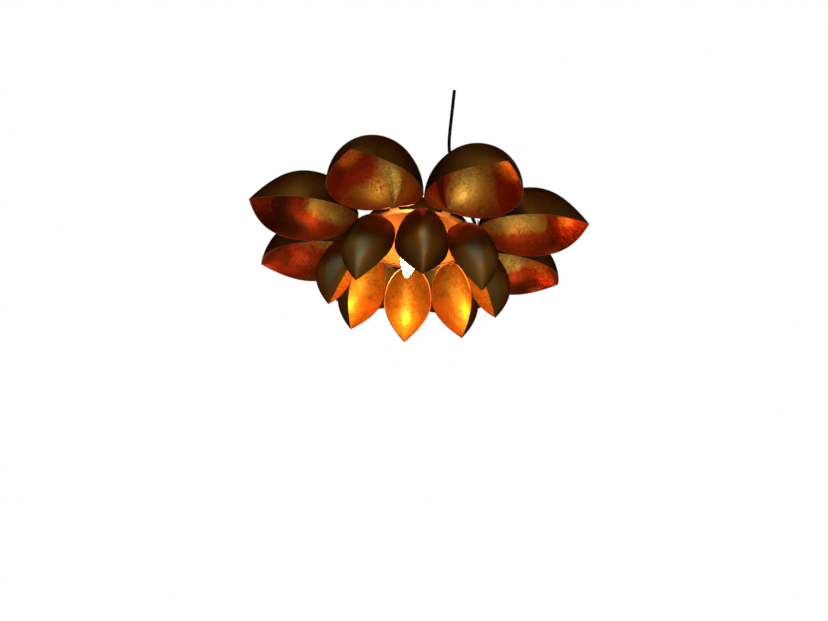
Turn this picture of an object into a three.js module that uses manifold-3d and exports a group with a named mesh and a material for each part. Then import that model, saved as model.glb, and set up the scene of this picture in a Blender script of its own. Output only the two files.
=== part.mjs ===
// Pendant lamp: a spun dish with a ring of large petal shades round it and a ring of small ones below.
// Millimetres, +Z up. The origin is the place on the hanging loop that bears on its hook.
import * as THREE from 'three';
import { mergeVertices } from 'three/addons/utils/BufferGeometryUtils.js';
import Module from 'manifold-3d';

const wasm = await Module();
wasm.setup();

// Clearances
const SEAT_GAP = 0.3;            // between pieces that bear on each other
const HOLE_CLEARANCE = 0.3;      // on the radius, round a rivet, stem or screw
const THREAD_CLEARANCE = 0.35;   // on the radius, between two threaded pieces
const CUT_PAST = 1;              // how far a cutting tool runs past a face

// Facets round the pieces that have no count of their own
const HEX_SIDES = 6;
const SMALL_FACETS = 12;
const HOLE_FACETS = 16;
const BORE_FACETS = 20;
const TURNED_FACETS = 24;

// Petals
const PETALS_IN_RING = 8;
const PETAL_WALL = 1.2;
const OUTER_START_DEG = 3.1;     // turn of the outer ring, from a petal pointing along -Y plus half a pitch
const INNER_START_DEG = 5.1;
const OUTER_PETAL = {
  length: 201,                   // root to tip along the petal's own axis
  halfWidth: 79,
  depth: 91,                     // from the rim up to the back
  camber: 16.3,                  // how far the rim droops at full width
  bend: 0,                       // how far the rim line bows between root and tip
  tiltDeg: -3.5,                 // slope of the axis, root to tip
  fullAt: 0.436,                 // where along the length it is widest
  rimPower: 2.62,                // how blunt the rim's outline is towards the tip
  depthPower: 2.29,
};
const INNER_PETAL = {
  length: 151.6,
  halfWidth: 47.1,
  depth: 61.5,
  camber: 9.4,
  bend: 4.4,
  tiltDeg: -71.5,
  fullAt: 0.493,
  rimPower: 1.74,
  depthPower: 2.37,
};
const ROUND_END_STEPS_DEG = [0, 9, 18, 34, 58, 90];
const TIP_STEPS = 5;
const PETAL_GIRTH_STEPS = 8;

// Carrier ring, a flat steel ring with bent-up tabs
const RING_SHEET = 2;
const RING_OUTER_RADIUS = 117;
const RING_WIDTH = 9;
const RING_FACETS = 48;
const TAB_STANDOFF = 7.1;        // ring's edge to the upright face that an outer petal's round end bears on
const TAB_HALF_WIDTH = 8;
const TAB_HEIGHT = 24;
const OUTER_ROOT_ABOVE_RING = 1.9;
const OUTER_RIVET_HEIGHT = 11;   // above the outer petal's root

// Rivets
const RIVET_RADIUS = 1.8;
const RIVET_HEAD_RADIUS = 3.6;
const RIVET_HEAD_HEIGHT = 2;
const RIVET_DOME = [0.75, 0.7];  // middle ring of the head's dome, as shares of its radius and height
const RIVET_FACETS = 8;
const INNER_RIVET_IN = 4;        // from the ring's edge to the middle of an inner petal's rivet
const OUTER_RIVET_SLANT = 0.36;  // room under the head, because the petal's wall slopes there
const INNER_RIVET_CURVE = 0.9;   // the same for the small petals' curved wall

// Dish
const DISH_WALL = 1.2;
const DISH_IN_RING = 1;          // on the radius, between the dome's foot and the ring's bore
const DISH_HEIGHT = 66;
const DISH_CROWN_RADIUS = 30;    // flat at the top
const CROWN_PAD = [16.4, 28.4];  // radii at mid height of the raised ring that a cover cup rests on
const CROWN_PAD_HEIGHT = 1;
const CROWN_PAD_SLANT = 0.6;     // how far each of its two steps leans to either side of that
const DISH_ARC_STEPS = 6;
const DISH_FACETS = 40;

// Stem, nuts and loop on the axis
const STEM_RADIUS = 5;
const STEM_BORE = 3.6;
const STEM_BELOW_NUT = 1.5;
const NUT_WALL = 3;              // from the thread to the flats
const TOP_NUT_HEIGHT = 6;
const TOP_NUT_FLANGE_RADIUS = 14;
const TOP_NUT_FLANGE_HEIGHT = 2;
const TOP_NUT_FLANGE_FACETS = 28;
const LOCK_NUT_HEIGHT = 3.2;
const LOOP_SOCKET_WALL = 3;
const LOOP_SOCKET_TAPER = 1.5;
const LOOP_SOCKET_HEIGHT = 13;
const LOOP_SOCKET_DEPTH = 9;
const LOOP_EYE_RADIUS = 8;       // inside of the eye
const LOOP_BAR_RADIUS = 3;
const LOOP_BAR_FACETS = 8;
const LOOP_NECK = 1.2;           // socket's top to the lowest place inside the eye

// Lampholder bracket, a strip bent to a C
const BRACKET_SHEET = 2;
const BRACKET_HALF_WIDTH = 7;
const BRACKET_REACH = 19;        // axis to the outside of the upright leg
const BRACKET_DROP = 23.4;       // between the undersides of the two legs
const BRACKET_END = 11;          // how far each leg runs past the axis
const HOLDER_LEAN_DEG = 7;       // the lower leg is bent out of level, so the bulb points a little to -X

// Lampholder, measured down its own axis from the lower leg
const HOLDER_NUT_WALL = 2;
const HOLDER_NUT_HEIGHT = 3;
const HOLDER_NIPPLE_ABOVE_NUT = 1.5;
const HOLDER_NIPPLE_IN_CAP = 5;
const HOLDER_RADIUS = 14;
const HOLDER_WALL = 1.4;
const HOLDER_CAP_HEIGHT = 13;
const HOLDER_CAP_ROOF = 6;       // thickness that the nipple screws into
const HOLDER_CAP_STEPS = [4, 1]; // how much smaller the cap is at its top and at its shoulder
const HOLDER_CAP_SHOULDER = 2.5;
const HOLDER_SHELL_LENGTH = 29;
const HOLDER_INSERT_HEIGHT = 7;
const HOLDER_INSERT_IN_CAP = 2;
const HOLDER_INSERT_BORE = 4;
const HOLDER_THREAD_WALL = 0.6;
const HOLDER_THREAD_LENGTH = 17;
const CONTACT_DROP = 1.9;        // insert to the spring strip's underside
const CONTACT_LENGTH = 8;
const CONTACT_WIDTH = 3.2;
const CONTACT_SHEET = 0.5;
const CONTACT_FOOT = 1.2;

// Candle bulb
const BULB_CAP_RADIUS = 6.9;
const BULB_CAP_CLEARANCE = 0.5;  // on the radius, inside the holder's thread
const BULB_CAP_LENGTH = 17;
const BULB_CAP_TAPER = 3;
const BULB_CAP_WALL = 0.6;
const BULB_CONTACT_RADIUS = 2.4;
const BULB_CONTACT_HEIGHT = 1.2;
const BULB_CAP_OPENING = 1.6;    // hole in the cap's top, behind the end contact
const BULB_CAP_CROWN = 3;
const BULB_NECK_OVER_CAP = 0.7;
const BULB_RADIUS = 17.5;
const BULB_GLASS_LENGTH = 80;
const BULB_GLASS_WALL = 0.9;
const BULB_BELLY_AT = 34;        // from the cap's end to the widest place
const BULB_TIP_RADIUS = 4;
const BULB_TIP_ROUNDING = 0.72;
const BULB_TAPER_TURN = 1.27;    // how far along a cosine the taper runs, in radians
const BULB_TAPER_POWER = 1.15;
const BULB_SWELL_STEPS = 5;
const BULB_TAPER_STEPS = 6;
const BULB_FACETS = 16;
const BULB_STEM_RADIUS = 3.4;
const BULB_STEM_NECK = 1.7;      // radius of its thin lower part
const BULB_STEM_LENGTH = 40;
const BULB_STEM_FOOT = 6;
const BULB_STEM_RIM = 1.5;       // height of the flared foot's edge

// Cord, its gland and the leads inside the dish
const CORD_RADIUS = 3.5;
const CORD_SIDES = 8;
const CORD_STEPS = 26;
const GLAND_AZIMUTH_DEG = 38;
const GLAND_RISE_DEG = 23.7;     // place on the dome's arc, up from the flange
const GLAND_BODY_RADIUS = 7.5;
const GLAND_BODY_LENGTH = 8;
const GLAND_BODY_CHAMFER = 1.5;
const GLAND_TAPER_LENGTH = 18;
const GLAND_TIP_RADIUS = 4.6;
const GLAND_TAPER_GAIN = 0.8;    // how much thicker the taper is at its root than at its tip
const GLAND_THREAD_RADIUS = 5.5;
const GLAND_THREAD_LENGTH = 8;
const GLAND_NUT_WALL = 2;
const GLAND_NUT_HEIGHT = 3.5;
const GLAND_NUT_CLEARANCE = 1.5; // under the curved wall, so that the flat nut's corners clear it
const SHEATH_END_LENGTH = 6;
const LEAD_RADIUS = 1.1;
const LEAD_SPACING = 3.2;
const LEAD_SIDES = 6;
const LEAD_STEPS = 9;
const LEAD_ANGLES_DEG = { live: 90, neutral: 210, earth: 330 }; // round the sheath's end
const LEAD_STRAIGHT = 7;         // out of the sheath
const HOLDER_LEAD_LIFT = 8;      // how high a holder lead bows on its way
const EARTH_LEAD_LIFT = -3;      // the earth lead sags instead
const LEAD_ABOVE_NIPPLE = 5.5;   // top of the bend over the nipple
const LEAD_BEND_REACH = 6.5;     // from the nipple's axis to the start of that bend
const EARTH_SCREW_RADIUS = 1.8;
const EARTH_SCREW_HEAD_RADIUS = 3.4;
const EARTH_SCREW_HEAD_HEIGHT = 2;
const EARTH_SCREW_LENGTH = 7;

// Points down the middle of the cord, from the gland to its free end, in the part's own frame
const CORD_ROUTE = [
  [94.3, 73.7, -62.3],
  [98.8, 77.2, -58.3],
  [106.0, 81.2, -51.0],
  [112.6, 83.8, -42.0],
  [117.2, 85.0, -31.5],
  [119.0, 85.1, -21.0],
  [117.2, 84.9, -11.0],
  [111.6, 84.4, 1.0],
  [103.4, 82.6, 18.0],
  [94.6, 79.8, 37.5],
  [86.2, 76.4, 58.5],
  [78.4, 72.4, 81.0],
  [71.2, 68.0, 105.0],
  [64.9, 63.6, 127.0],
  [61.3, 59.8, 144.0],
  [60.4, 56.2, 166.0],
  [61.4, 52.2, 188.0],
  [63.0, 49.0, 212.0],
  [64.7, 46.0, 236.0],
  [66.3, 43.8, 260.0],
  [67.8, 42.0, 282.3],
];

// Finishes
const BRONZE = { color: 0x3a1e0a, roughness: 0.42, metalness: 0.7 };
const DARK_STEEL = { color: 0x3b3028, roughness: 0.5, metalness: 0.8 };
const BRASS = { color: 0xb08a3c, roughness: 0.35, metalness: 1.0 };
const ZINC = { color: 0xb9bcc0, roughness: 0.4, metalness: 1.0 };
const BLACK_PLASTIC = { color: 0x141414, roughness: 0.5, metalness: 0.0 };
const CORD_BLACK = { color: 0x0c0c0c, roughness: 0.65, metalness: 0.0 };
const PORCELAIN = { color: 0xe9e4d8, roughness: 0.3, metalness: 0.0 };
const OPAL_GLASS = { color: 0xfff6e4, roughness: 0.2, metalness: 0.0 };
const LEAD_BROWN = { color: 0x5a3216, roughness: 0.5, metalness: 0.0 };
const LEAD_BLUE = { color: 0x2a5ea8, roughness: 0.5, metalness: 0.0 };
const LEAD_GREEN = { color: 0x6f9a2c, roughness: 0.5, metalness: 0.0 };

const radians = THREE.MathUtils.degToRad;

// Small helpers for geometry

// Turns a geometry's faces outwards when its signed volume says that they point in.
function facingOut(geometry) {
  const bare = geometry.index ? geometry.toNonIndexed() : geometry;
  const p = bare.attributes.position;
  const [a, b, c] = [new THREE.Vector3(), new THREE.Vector3(), new THREE.Vector3()];
  let volume = 0;
  for (let i = 0; i < p.count; i += 3) {
    a.fromBufferAttribute(p, i);
    b.fromBufferAttribute(p, i + 1);
    c.fromBufferAttribute(p, i + 2);
    volume += a.dot(b.cross(c));
  }
  if (volume >= 0) return geometry;
  const index = geometry.index.array;
  for (let i = 0; i < index.length; i += 3) {
    [index[i], index[i + 1]] = [index[i + 1], index[i]];
  }
  return geometry;
}

// Merges shared corners so that a geometry is one closed skin.
function welded(geometry) {
  geometry.deleteAttribute('normal');
  geometry.deleteAttribute('uv');
  return mergeVertices(geometry, 1e-4);
}

function toManifold(geometry) {
  const skin = facingOut(welded(geometry.clone()));
  return new wasm.Manifold(new wasm.Mesh({
    numProp: 3,
    vertProperties: new Float32Array(skin.attributes.position.array),
    triVerts: new Uint32Array(skin.index.array),
  }));
}

function fromManifold(body) {
  const mesh = body.getMesh();
  const geometry = new THREE.BufferGeometry();
  geometry.setAttribute('position', new THREE.BufferAttribute(mesh.vertProperties, 3));
  geometry.setIndex(new THREE.BufferAttribute(mesh.triVerts, 1));
  return geometry;
}

function joined(...geometries) {
  return fromManifold(geometries.map(toManifold).reduce((whole, next) => whole.add(next)));
}

function cut(geometry, ...tools) {
  return fromManifold(tools.map(toManifold).reduce((rest, tool) => rest.subtract(tool), toManifold(geometry)));
}

// A round bar along Z, from one level to another, with a top radius of its own where it tapers.
function bar(radius, bottom, top, sides = HOLE_FACETS, topRadius = radius) {
  const geometry = new THREE.CylinderGeometry(topRadius, radius, top - bottom, sides);
  geometry.rotateX(Math.PI / 2);
  return geometry.translate(0, 0, (top + bottom) / 2);
}

// A closed outline of [radius, level] pairs turned about Z.
function turned(outline, facets) {
  const points = outline.map(([r, z]) => new THREE.Vector2(r, z));
  if (outline[0][0] > 0) points.push(points[0].clone());
  const geometry = new THREE.LatheGeometry(points, facets);
  geometry.rotateX(Math.PI / 2);
  return facingOut(withoutSlivers(welded(geometry)));
}

// A turned outline leaves triangles with no area where it meets the axis.
function withoutSlivers(geometry) {
  const kept = [];
  const index = geometry.index.array;
  for (let i = 0; i < index.length; i += 3) {
    const [a, b, c] = [index[i], index[i + 1], index[i + 2]];
    if (a !== b && b !== c && c !== a) kept.push(a, b, c);
  }
  geometry.setIndex(kept);
  return geometry;
}

// A tube wall between two radii, from one level to another.
function sleeve(inner, outer, bottom, top, facets = TURNED_FACETS) {
  return turned([[inner, bottom], [outer, bottom], [outer, top], [inner, top]], facets);
}

// A hexagon bar along Z by the distance from its middle to its flats.
function hexBar(toFlats, bottom, top) {
  return bar(toFlats / Math.cos(Math.PI / HEX_SIDES), bottom, top, HEX_SIDES);
}

// A hexagon nut on a thread, with its wall from the thread to the flats.
function hexNut(threadRadius, wall, bottom, top) {
  const bore = bar(threadRadius + THREAD_CLEARANCE, bottom - CUT_PAST, top + CUT_PAST, BORE_FACETS);
  return cut(hexBar(threadRadius + wall, bottom, top), bore);
}

// A rivet along Z: shank between two levels, with a domed head beyond each.
function rivet(radius, headRadius, headHeight, bottom, top) {
  const [domeRadius, domeHeight] = [headRadius * RIVET_DOME[0], headHeight * RIVET_DOME[1]];
  return turned([
    [0, bottom - headHeight],
    [domeRadius, bottom - domeHeight],
    [headRadius, bottom],
    [radius, bottom],
    [radius, top],
    [headRadius, top],
    [domeRadius, top + domeHeight],
    [0, top + headHeight],
  ], RIVET_FACETS);
}

// A round tube that follows a list of points.
function tubeAlong(points, radius, sides, steps) {
  const section = new THREE.Shape();
  for (let i = 0; i < sides; i += 1) {
    const angle = (i / sides) * 2 * Math.PI;
    const corner = [radius * Math.cos(angle), radius * Math.sin(angle)];
    if (i === 0) section.moveTo(...corner);
    else section.lineTo(...corner);
  }
  section.closePath();
  const path = new THREE.CatmullRomCurve3(points, false, 'centripetal');
  return new THREE.ExtrudeGeometry(section, { steps, extrudePath: path, bevelEnabled: false });
}

// Petal shape

// How full the petal is at a share s of its length: an ellipse to the widest place, then a power curve.
function fullness(petal, s, power) {
  if (s < petal.fullAt) return Math.sqrt(Math.max(0, 1 - ((petal.fullAt - s) / petal.fullAt) ** 2));
  return 1 - ((s - petal.fullAt) / (1 - petal.fullAt)) ** power;
}

// How far the inner skin's tip stays back where the two sides of the wall meet.
function tipSetback(petal, inset) {
  const slope = petal.halfWidth * petal.rimPower / ((1 - petal.fullAt) * petal.length);
  return inset * Math.hypot(1, 1 / slope);
}

// A point on the petal's skin in its own frame: X root to tip, Z out of its back.
// The girth angle runs from one rim over the back to the other, and the inset goes in from the outer face.
function skinPoint(petal, s, girth, inset) {
  const width = fullness(petal, s, petal.rimPower);
  const height = fullness(petal, s, petal.depthPower);
  const length = petal.length - inset - tipSetback(petal, inset);
  const droop = -petal.camber * width + petal.bend * (s * s - 1);
  return new THREE.Vector3(
    (inset > 0 ? inset : 0) + s * length,
    (petal.halfWidth - inset) * width * Math.cos(girth),
    droop + (petal.depth - inset) * height * Math.sin(girth),
  );
}

function stationsAlong(petal) {
  const roundEnd = ROUND_END_STEPS_DEG.map((deg) => petal.fullAt * (1 - Math.cos(radians(deg))));
  const toTip = [];
  for (let i = 1; i <= TIP_STEPS; i += 1) {
    toTip.push(petal.fullAt + (1 - petal.fullAt) * (i / TIP_STEPS));
  }
  return [...roundEnd, ...toTip];
}

// The shell of one petal: outer skin, inner skin and the rim between them.
function petalShell(petal) {
  const stations = stationsAlong(petal);
  const last = stations.length - 1;
  const positions = [];
  const index = [];
  const skins = [0, PETAL_WALL].map((inset) => {
    const rows = stations.map((s, i) => {
      const isEnd = i === 0 || i === last;
      const row = [];
      for (let j = 0; j <= PETAL_GIRTH_STEPS; j += 1) {
        if (isEnd && j > 0) {
          row.push(row[0]);
        } else {
          const girth = isEnd ? 0 : (j / PETAL_GIRTH_STEPS) * Math.PI;
          row.push(positions.length / 3);
          positions.push(...skinPoint(petal, s, girth, inset).toArray());
        }
      }
      return row;
    });
    return rows;
  });
  const quad = (a, b, c, d) => {
    if (a !== b && b !== c && c !== a) index.push(a, b, c);
    if (a !== c && c !== d && d !== a) index.push(a, c, d);
  };
  const [outer, inner] = skins;
  for (let i = 0; i < last; i += 1) {
    for (let j = 0; j < PETAL_GIRTH_STEPS; j += 1) {
      quad(outer[i][j], outer[i + 1][j], outer[i + 1][j + 1], outer[i][j + 1]);
      quad(inner[i][j + 1], inner[i + 1][j + 1], inner[i + 1][j], inner[i][j]);
    }
    quad(inner[i][0], inner[i + 1][0], outer[i + 1][0], outer[i][0]);
    const k = PETAL_GIRTH_STEPS;
    quad(outer[i][k], outer[i + 1][k], inner[i + 1][k], inner[i][k]);
  }
  const geometry = new THREE.BufferGeometry();
  geometry.setAttribute('position', new THREE.Float32BufferAttribute(positions, 3));
  geometry.setIndex(index);
  return facingOut(geometry);
}

// Places a petal's own frame at its root in the plane of its azimuth.
function petalSeat(petal, rootRadius, rootLevel) {
  const seat = new THREE.Matrix4().makeRotationY(radians(-petal.tiltDeg));
  return seat.setPosition(rootRadius, 0, rootLevel);
}

// The highest place on the round end of a seated petal, as radius and level above its root.
function crownOf(petal) {
  const turn = petalSeat(petal, 0, 0);
  let best = new THREE.Vector3(0, 0, 0);
  for (let deg = 0; deg <= 60; deg += 0.25) {
    const s = petal.fullAt * (1 - Math.cos(radians(deg)));
    const place = skinPoint(petal, s, Math.PI / 2, 0).applyMatrix4(turn);
    if (place.z > best.z) best = place;
  }
  return best;
}

// How far out the round end of a seated petal's back has drawn at a height above its root.
function endDrawBack(petal, height) {
  const turn = petalSeat(petal, 0, 0);
  const places = stationsAlong(petal).map((s) => skinPoint(petal, s, Math.PI / 2, 0).applyMatrix4(turn));
  const above = places.findIndex((place) => place.z >= height);
  const [low, high] = [places[above - 1], places[above]];
  return low.x + (high.x - low.x) * (height - low.z) / (high.z - low.z);
}

// Radii that several pieces share
const ringInnerRadius = RING_OUTER_RADIUS - RING_WIDTH;
const tabFaceRadius = RING_OUTER_RADIUS + TAB_STANDOFF;
const dishRimRadius = ringInnerRadius - DISH_IN_RING;
const socketRadius = STEM_RADIUS + LOOP_SOCKET_WALL;

// Levels, from the underside of the carrier ring, which is level 0
const ringTop = RING_SHEET;
const flangeBottom = ringTop + SEAT_GAP;
const flangeTop = flangeBottom + DISH_WALL;
const dishTop = flangeTop + DISH_HEIGHT;
const dishCeiling = dishTop - DISH_WALL;
const topNutBottom = dishTop + SEAT_GAP;
const socketBottom = topNutBottom + TOP_NUT_FLANGE_HEIGHT + TOP_NUT_HEIGHT + SEAT_GAP;
const eyeCentre = socketBottom + LOOP_SOCKET_HEIGHT + LOOP_NECK + LOOP_EYE_RADIUS;
const bearingLevel = eyeCentre + LOOP_EYE_RADIUS;
const bracketTop = dishCeiling - SEAT_GAP;
const lockNutTop = bracketTop - BRACKET_SHEET - SEAT_GAP;
const stemBottom = lockNutTop - LOCK_NUT_HEIGHT - STEM_BELOW_NUT;
const innerCrown = crownOf(INNER_PETAL);
const innerRootLevel = -SEAT_GAP - innerCrown.z;
const innerRivetRadius = RING_OUTER_RADIUS - INNER_RIVET_IN;
const innerRootRadius = innerRivetRadius - innerCrown.x;
const outerRootRadius = tabFaceRadius + SEAT_GAP;
const outerRootLevel = ringTop + OUTER_ROOT_ABOVE_RING;
const outerRivetLevel = outerRootLevel + OUTER_RIVET_HEIGHT;

const outerSeat = petalSeat(OUTER_PETAL, outerRootRadius, outerRootLevel);
const innerSeat = petalSeat(INNER_PETAL, innerRootRadius, innerRootLevel);

// Azimuth of each petal: the small ones stand half a pitch round from the large ones.
const pitchDeg = 360 / PETALS_IN_RING;
const outerAzimuth = (i) => radians(-90 + OUTER_START_DEG + pitchDeg * (i + 0.5));
const innerAzimuth = (i) => radians(-90 + INNER_START_DEG + pitchDeg * i);
const petalNumbers = Array.from({ length: PETALS_IN_RING }, (_, i) => i);

const group = new THREE.Group();
const lamp = new THREE.Group();
lamp.position.z = -bearingLevel;
group.add(lamp);

function addPiece(parent, name, geometry, finish) {
  const mesh = new THREE.Mesh(geometry, new THREE.MeshStandardMaterial(finish));
  mesh.name = name;
  parent.add(mesh);
  return mesh;
}

// Carrier ring

function ringGeometry() {
  const outline = new THREE.Shape().absarc(0, 0, RING_OUTER_RADIUS, 0, 2 * Math.PI);
  const plate = { depth: RING_SHEET, bevelEnabled: false, curveSegments: RING_FACETS };
  let body = toManifold(new THREE.ExtrudeGeometry(outline, plate));
  const strapStart = RING_OUTER_RADIUS - RING_WIDTH / 2;
  const strapLength = tabFaceRadius - strapStart;
  for (const i of petalNumbers) {
    const strap = new THREE.BoxGeometry(strapLength, 2 * TAB_HALF_WIDTH, RING_SHEET);
    strap.translate(strapStart + strapLength / 2, 0, RING_SHEET / 2);
    const tab = new THREE.BoxGeometry(RING_SHEET, 2 * TAB_HALF_WIDTH, TAB_HEIGHT);
    tab.translate(tabFaceRadius - RING_SHEET / 2, 0, TAB_HEIGHT / 2);
    for (const piece of [strap, tab]) body = body.add(toManifold(piece.rotateZ(outerAzimuth(i))));
  }
  body = body.subtract(toManifold(bar(ringInnerRadius, -CUT_PAST, RING_SHEET + CUT_PAST, RING_FACETS)));
  for (const i of petalNumbers) {
    const tabHole = rivetHole(tabFaceRadius - RING_SHEET - CUT_PAST, tabFaceRadius + CUT_PAST);
    tabHole.rotateY(Math.PI / 2).translate(0, 0, outerRivetLevel);
    body = body.subtract(toManifold(tabHole.rotateZ(outerAzimuth(i))));
  }
  for (const hole of innerRivetHoles(-CUT_PAST, RING_SHEET + CUT_PAST)) body = body.subtract(toManifold(hole));
  return fromManifold(body);
}

function rivetHole(bottom, top) {
  return bar(RIVET_RADIUS + HOLE_CLEARANCE, bottom, top, RIVET_FACETS);
}

// The inner petals' rivets go through the dish's flange and the ring.
function innerRivetHoles(bottom, top) {
  return petalNumbers.map((i) => {
    return rivetHole(bottom, top).translate(innerRivetRadius, 0, 0).rotateZ(innerAzimuth(i));
  });
}

addPiece(lamp, 'carrier_ring', ringGeometry(), DARK_STEEL);

// Dish

// Outline of the dome at an inset from its outer face, up from the flange.
function domeArc(inset) {
  const radius = dishRimRadius - inset;
  const height = DISH_HEIGHT - inset;
  const last = Math.acos(DISH_CROWN_RADIUS / dishRimRadius);
  const rise = height / Math.sin(last);
  const points = [];
  for (let i = 0; i <= DISH_ARC_STEPS; i += 1) {
    const angle = (last * i) / DISH_ARC_STEPS;
    points.push([radius * Math.cos(angle), flangeTop + rise * Math.sin(angle)]);
  }
  return points;
}

// Frame of the gland: origin on the dome's outer face, Z square to it.
function glandFrame() {
  const last = Math.acos(DISH_CROWN_RADIUS / dishRimRadius);
  const rise = DISH_HEIGHT / Math.sin(last);
  const angle = radians(GLAND_RISE_DEG);
  const place = new THREE.Vector3(dishRimRadius * Math.cos(angle), 0, flangeTop + rise * Math.sin(angle));
  const normal = new THREE.Vector2(Math.cos(angle) / dishRimRadius, Math.sin(angle) / rise);
  const lean = Math.atan2(normal.x, normal.y);
  const frame = new THREE.Matrix4().makeRotationZ(radians(GLAND_AZIMUTH_DEG));
  frame.multiply(new THREE.Matrix4().makeTranslation(place));
  return frame.multiply(new THREE.Matrix4().makeRotationY(lean));
}

// The raised ring pressed into the crown, at a level of the crown's sheet, from its outside inwards.
function crownPad(level, narrower) {
  const [inside, outside] = CROWN_PAD;
  return [
    [outside + CROWN_PAD_SLANT - narrower, level],
    [outside - CROWN_PAD_SLANT - narrower, level + CROWN_PAD_HEIGHT],
    [inside + CROWN_PAD_SLANT + narrower, level + CROWN_PAD_HEIGHT],
    [inside - CROWN_PAD_SLANT + narrower, level],
  ];
}

function dishGeometry() {
  const outer = domeArc(0);
  const inner = domeArc(DISH_WALL).reverse();
  const stemHole = STEM_RADIUS + HOLE_CLEARANCE;
  const body = turned([
    [RING_OUTER_RADIUS, flangeBottom],
    [RING_OUTER_RADIUS, flangeTop],
    ...outer,
    ...crownPad(dishTop, 0),
    [stemHole, dishTop],
    [stemHole, dishCeiling],
    ...crownPad(dishCeiling, DISH_WALL / 2).reverse(),
    ...inner.slice(0, -1),
    [dishRimRadius - DISH_WALL, flangeBottom],
  ], DISH_FACETS);
  const glandHole = bar(GLAND_THREAD_RADIUS + HOLE_CLEARANCE, -GLAND_THREAD_LENGTH, GLAND_BODY_LENGTH);
  glandHole.applyMatrix4(glandFrame());
  return cut(body, glandHole, ...innerRivetHoles(flangeBottom - CUT_PAST, flangeTop + CUT_PAST));
}

addPiece(lamp, 'dish', dishGeometry(), BRONZE);

// Petals and their rivets

// The inside of an outer petal's round end, level with the top of the rivet's head.
const outerWallInside = outerRootRadius + PETAL_WALL + OUTER_RIVET_SLANT
  + endDrawBack(OUTER_PETAL, OUTER_RIVET_HEIGHT + RIVET_HEAD_RADIUS);

function outerPetalGeometry() {
  const hole = rivetHole(tabFaceRadius, outerWallInside + CUT_PAST);
  hole.rotateY(Math.PI / 2).translate(0, 0, outerRivetLevel);
  return cut(petalShell(OUTER_PETAL), hole.applyMatrix4(outerSeat.clone().invert()));
}

function innerPetalGeometry() {
  const hole = rivetHole(-SEAT_GAP - PETAL_WALL - INNER_RIVET_CURVE - CUT_PAST, CUT_PAST);
  hole.translate(innerRivetRadius, 0, 0);
  return cut(petalShell(INNER_PETAL), hole.applyMatrix4(innerSeat.clone().invert()));
}

for (const i of petalNumbers) {
  const turn = new THREE.Group();
  turn.rotation.z = outerAzimuth(i);
  lamp.add(turn);
  const petal = addPiece(turn, `outer_petal_${i + 1}`, outerPetalGeometry(), BRONZE);
  petal.applyMatrix4(outerSeat);
  const shape = rivet(RIVET_RADIUS, RIVET_HEAD_RADIUS, RIVET_HEAD_HEIGHT,
    tabFaceRadius - RING_SHEET - SEAT_GAP, outerWallInside + SEAT_GAP);
  const pin = addPiece(turn, `outer_petal_rivet_${i + 1}`, shape, DARK_STEEL);
  pin.rotation.y = Math.PI / 2;
  pin.position.z = outerRivetLevel;
}

for (const i of petalNumbers) {
  const turn = new THREE.Group();
  turn.rotation.z = innerAzimuth(i);
  lamp.add(turn);
  const petal = addPiece(turn, `inner_petal_${i + 1}`, innerPetalGeometry(), BRONZE);
  petal.applyMatrix4(innerSeat);
  const shape = rivet(RIVET_RADIUS, RIVET_HEAD_RADIUS, RIVET_HEAD_HEIGHT,
    -SEAT_GAP - PETAL_WALL - INNER_RIVET_CURVE, flangeTop + SEAT_GAP);
  addPiece(turn, `inner_petal_rivet_${i + 1}`, shape, DARK_STEEL).position.x = innerRivetRadius;
}

// Stem, nuts and hanging loop

const stemTop = socketBottom + LOOP_SOCKET_DEPTH - SEAT_GAP;
const stemThreadBore = STEM_RADIUS + THREAD_CLEARANCE;
addPiece(lamp, 'stem', sleeve(STEM_BORE, STEM_RADIUS, stemBottom, stemTop), ZINC);

// The top nut has a round flange that spreads the load on the dish's crown.
const topNutFlange = bar(TOP_NUT_FLANGE_RADIUS, topNutBottom, topNutBottom + TOP_NUT_FLANGE_HEIGHT,
  TOP_NUT_FLANGE_FACETS);
const topNutHex = hexBar(STEM_RADIUS + NUT_WALL, topNutBottom + TOP_NUT_FLANGE_HEIGHT / 2, socketBottom - SEAT_GAP);
const topNutBore = bar(stemThreadBore, topNutBottom - CUT_PAST, socketBottom + CUT_PAST, BORE_FACETS);
addPiece(lamp, 'top_nut', cut(joined(topNutFlange, topNutHex), topNutBore), ZINC);
addPiece(lamp, 'lock_nut', hexNut(STEM_RADIUS, NUT_WALL, lockNutTop - LOCK_NUT_HEIGHT, lockNutTop), ZINC);

function loopGeometry() {
  const eyeMiddle = LOOP_EYE_RADIUS + LOOP_BAR_RADIUS;
  const eye = new THREE.TorusGeometry(eyeMiddle, LOOP_BAR_RADIUS, LOOP_BAR_FACETS, TURNED_FACETS);
  eye.rotateX(Math.PI / 2).translate(0, 0, eyeCentre);
  const socketTop = socketBottom + LOOP_SOCKET_HEIGHT;
  const socket = bar(socketRadius, socketBottom, socketTop, BORE_FACETS, socketRadius - LOOP_SOCKET_TAPER);
  const bore = bar(stemThreadBore, socketBottom - CUT_PAST, socketBottom + LOOP_SOCKET_DEPTH, BORE_FACETS);
  const eyeSpace = bar(LOOP_EYE_RADIUS, -socketRadius - CUT_PAST, socketRadius + CUT_PAST, TURNED_FACETS);
  eyeSpace.rotateX(Math.PI / 2).translate(0, 0, eyeCentre);
  return cut(joined(eye, cut(socket, eyeSpace)), bore);
}

addPiece(lamp, 'hanging_loop', loopGeometry(), ZINC);

// Bracket inside the dish. The holder's frame has its origin under the lower leg, with Z back up the lean.
const lowerLegUnder = bracketTop - BRACKET_SHEET - BRACKET_DROP;
const holderFrame = new THREE.Group();
holderFrame.position.z = lowerLegUnder;
holderFrame.rotation.y = radians(HOLDER_LEAN_DEG);
lamp.add(holderFrame);
holderFrame.updateMatrix();

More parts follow.
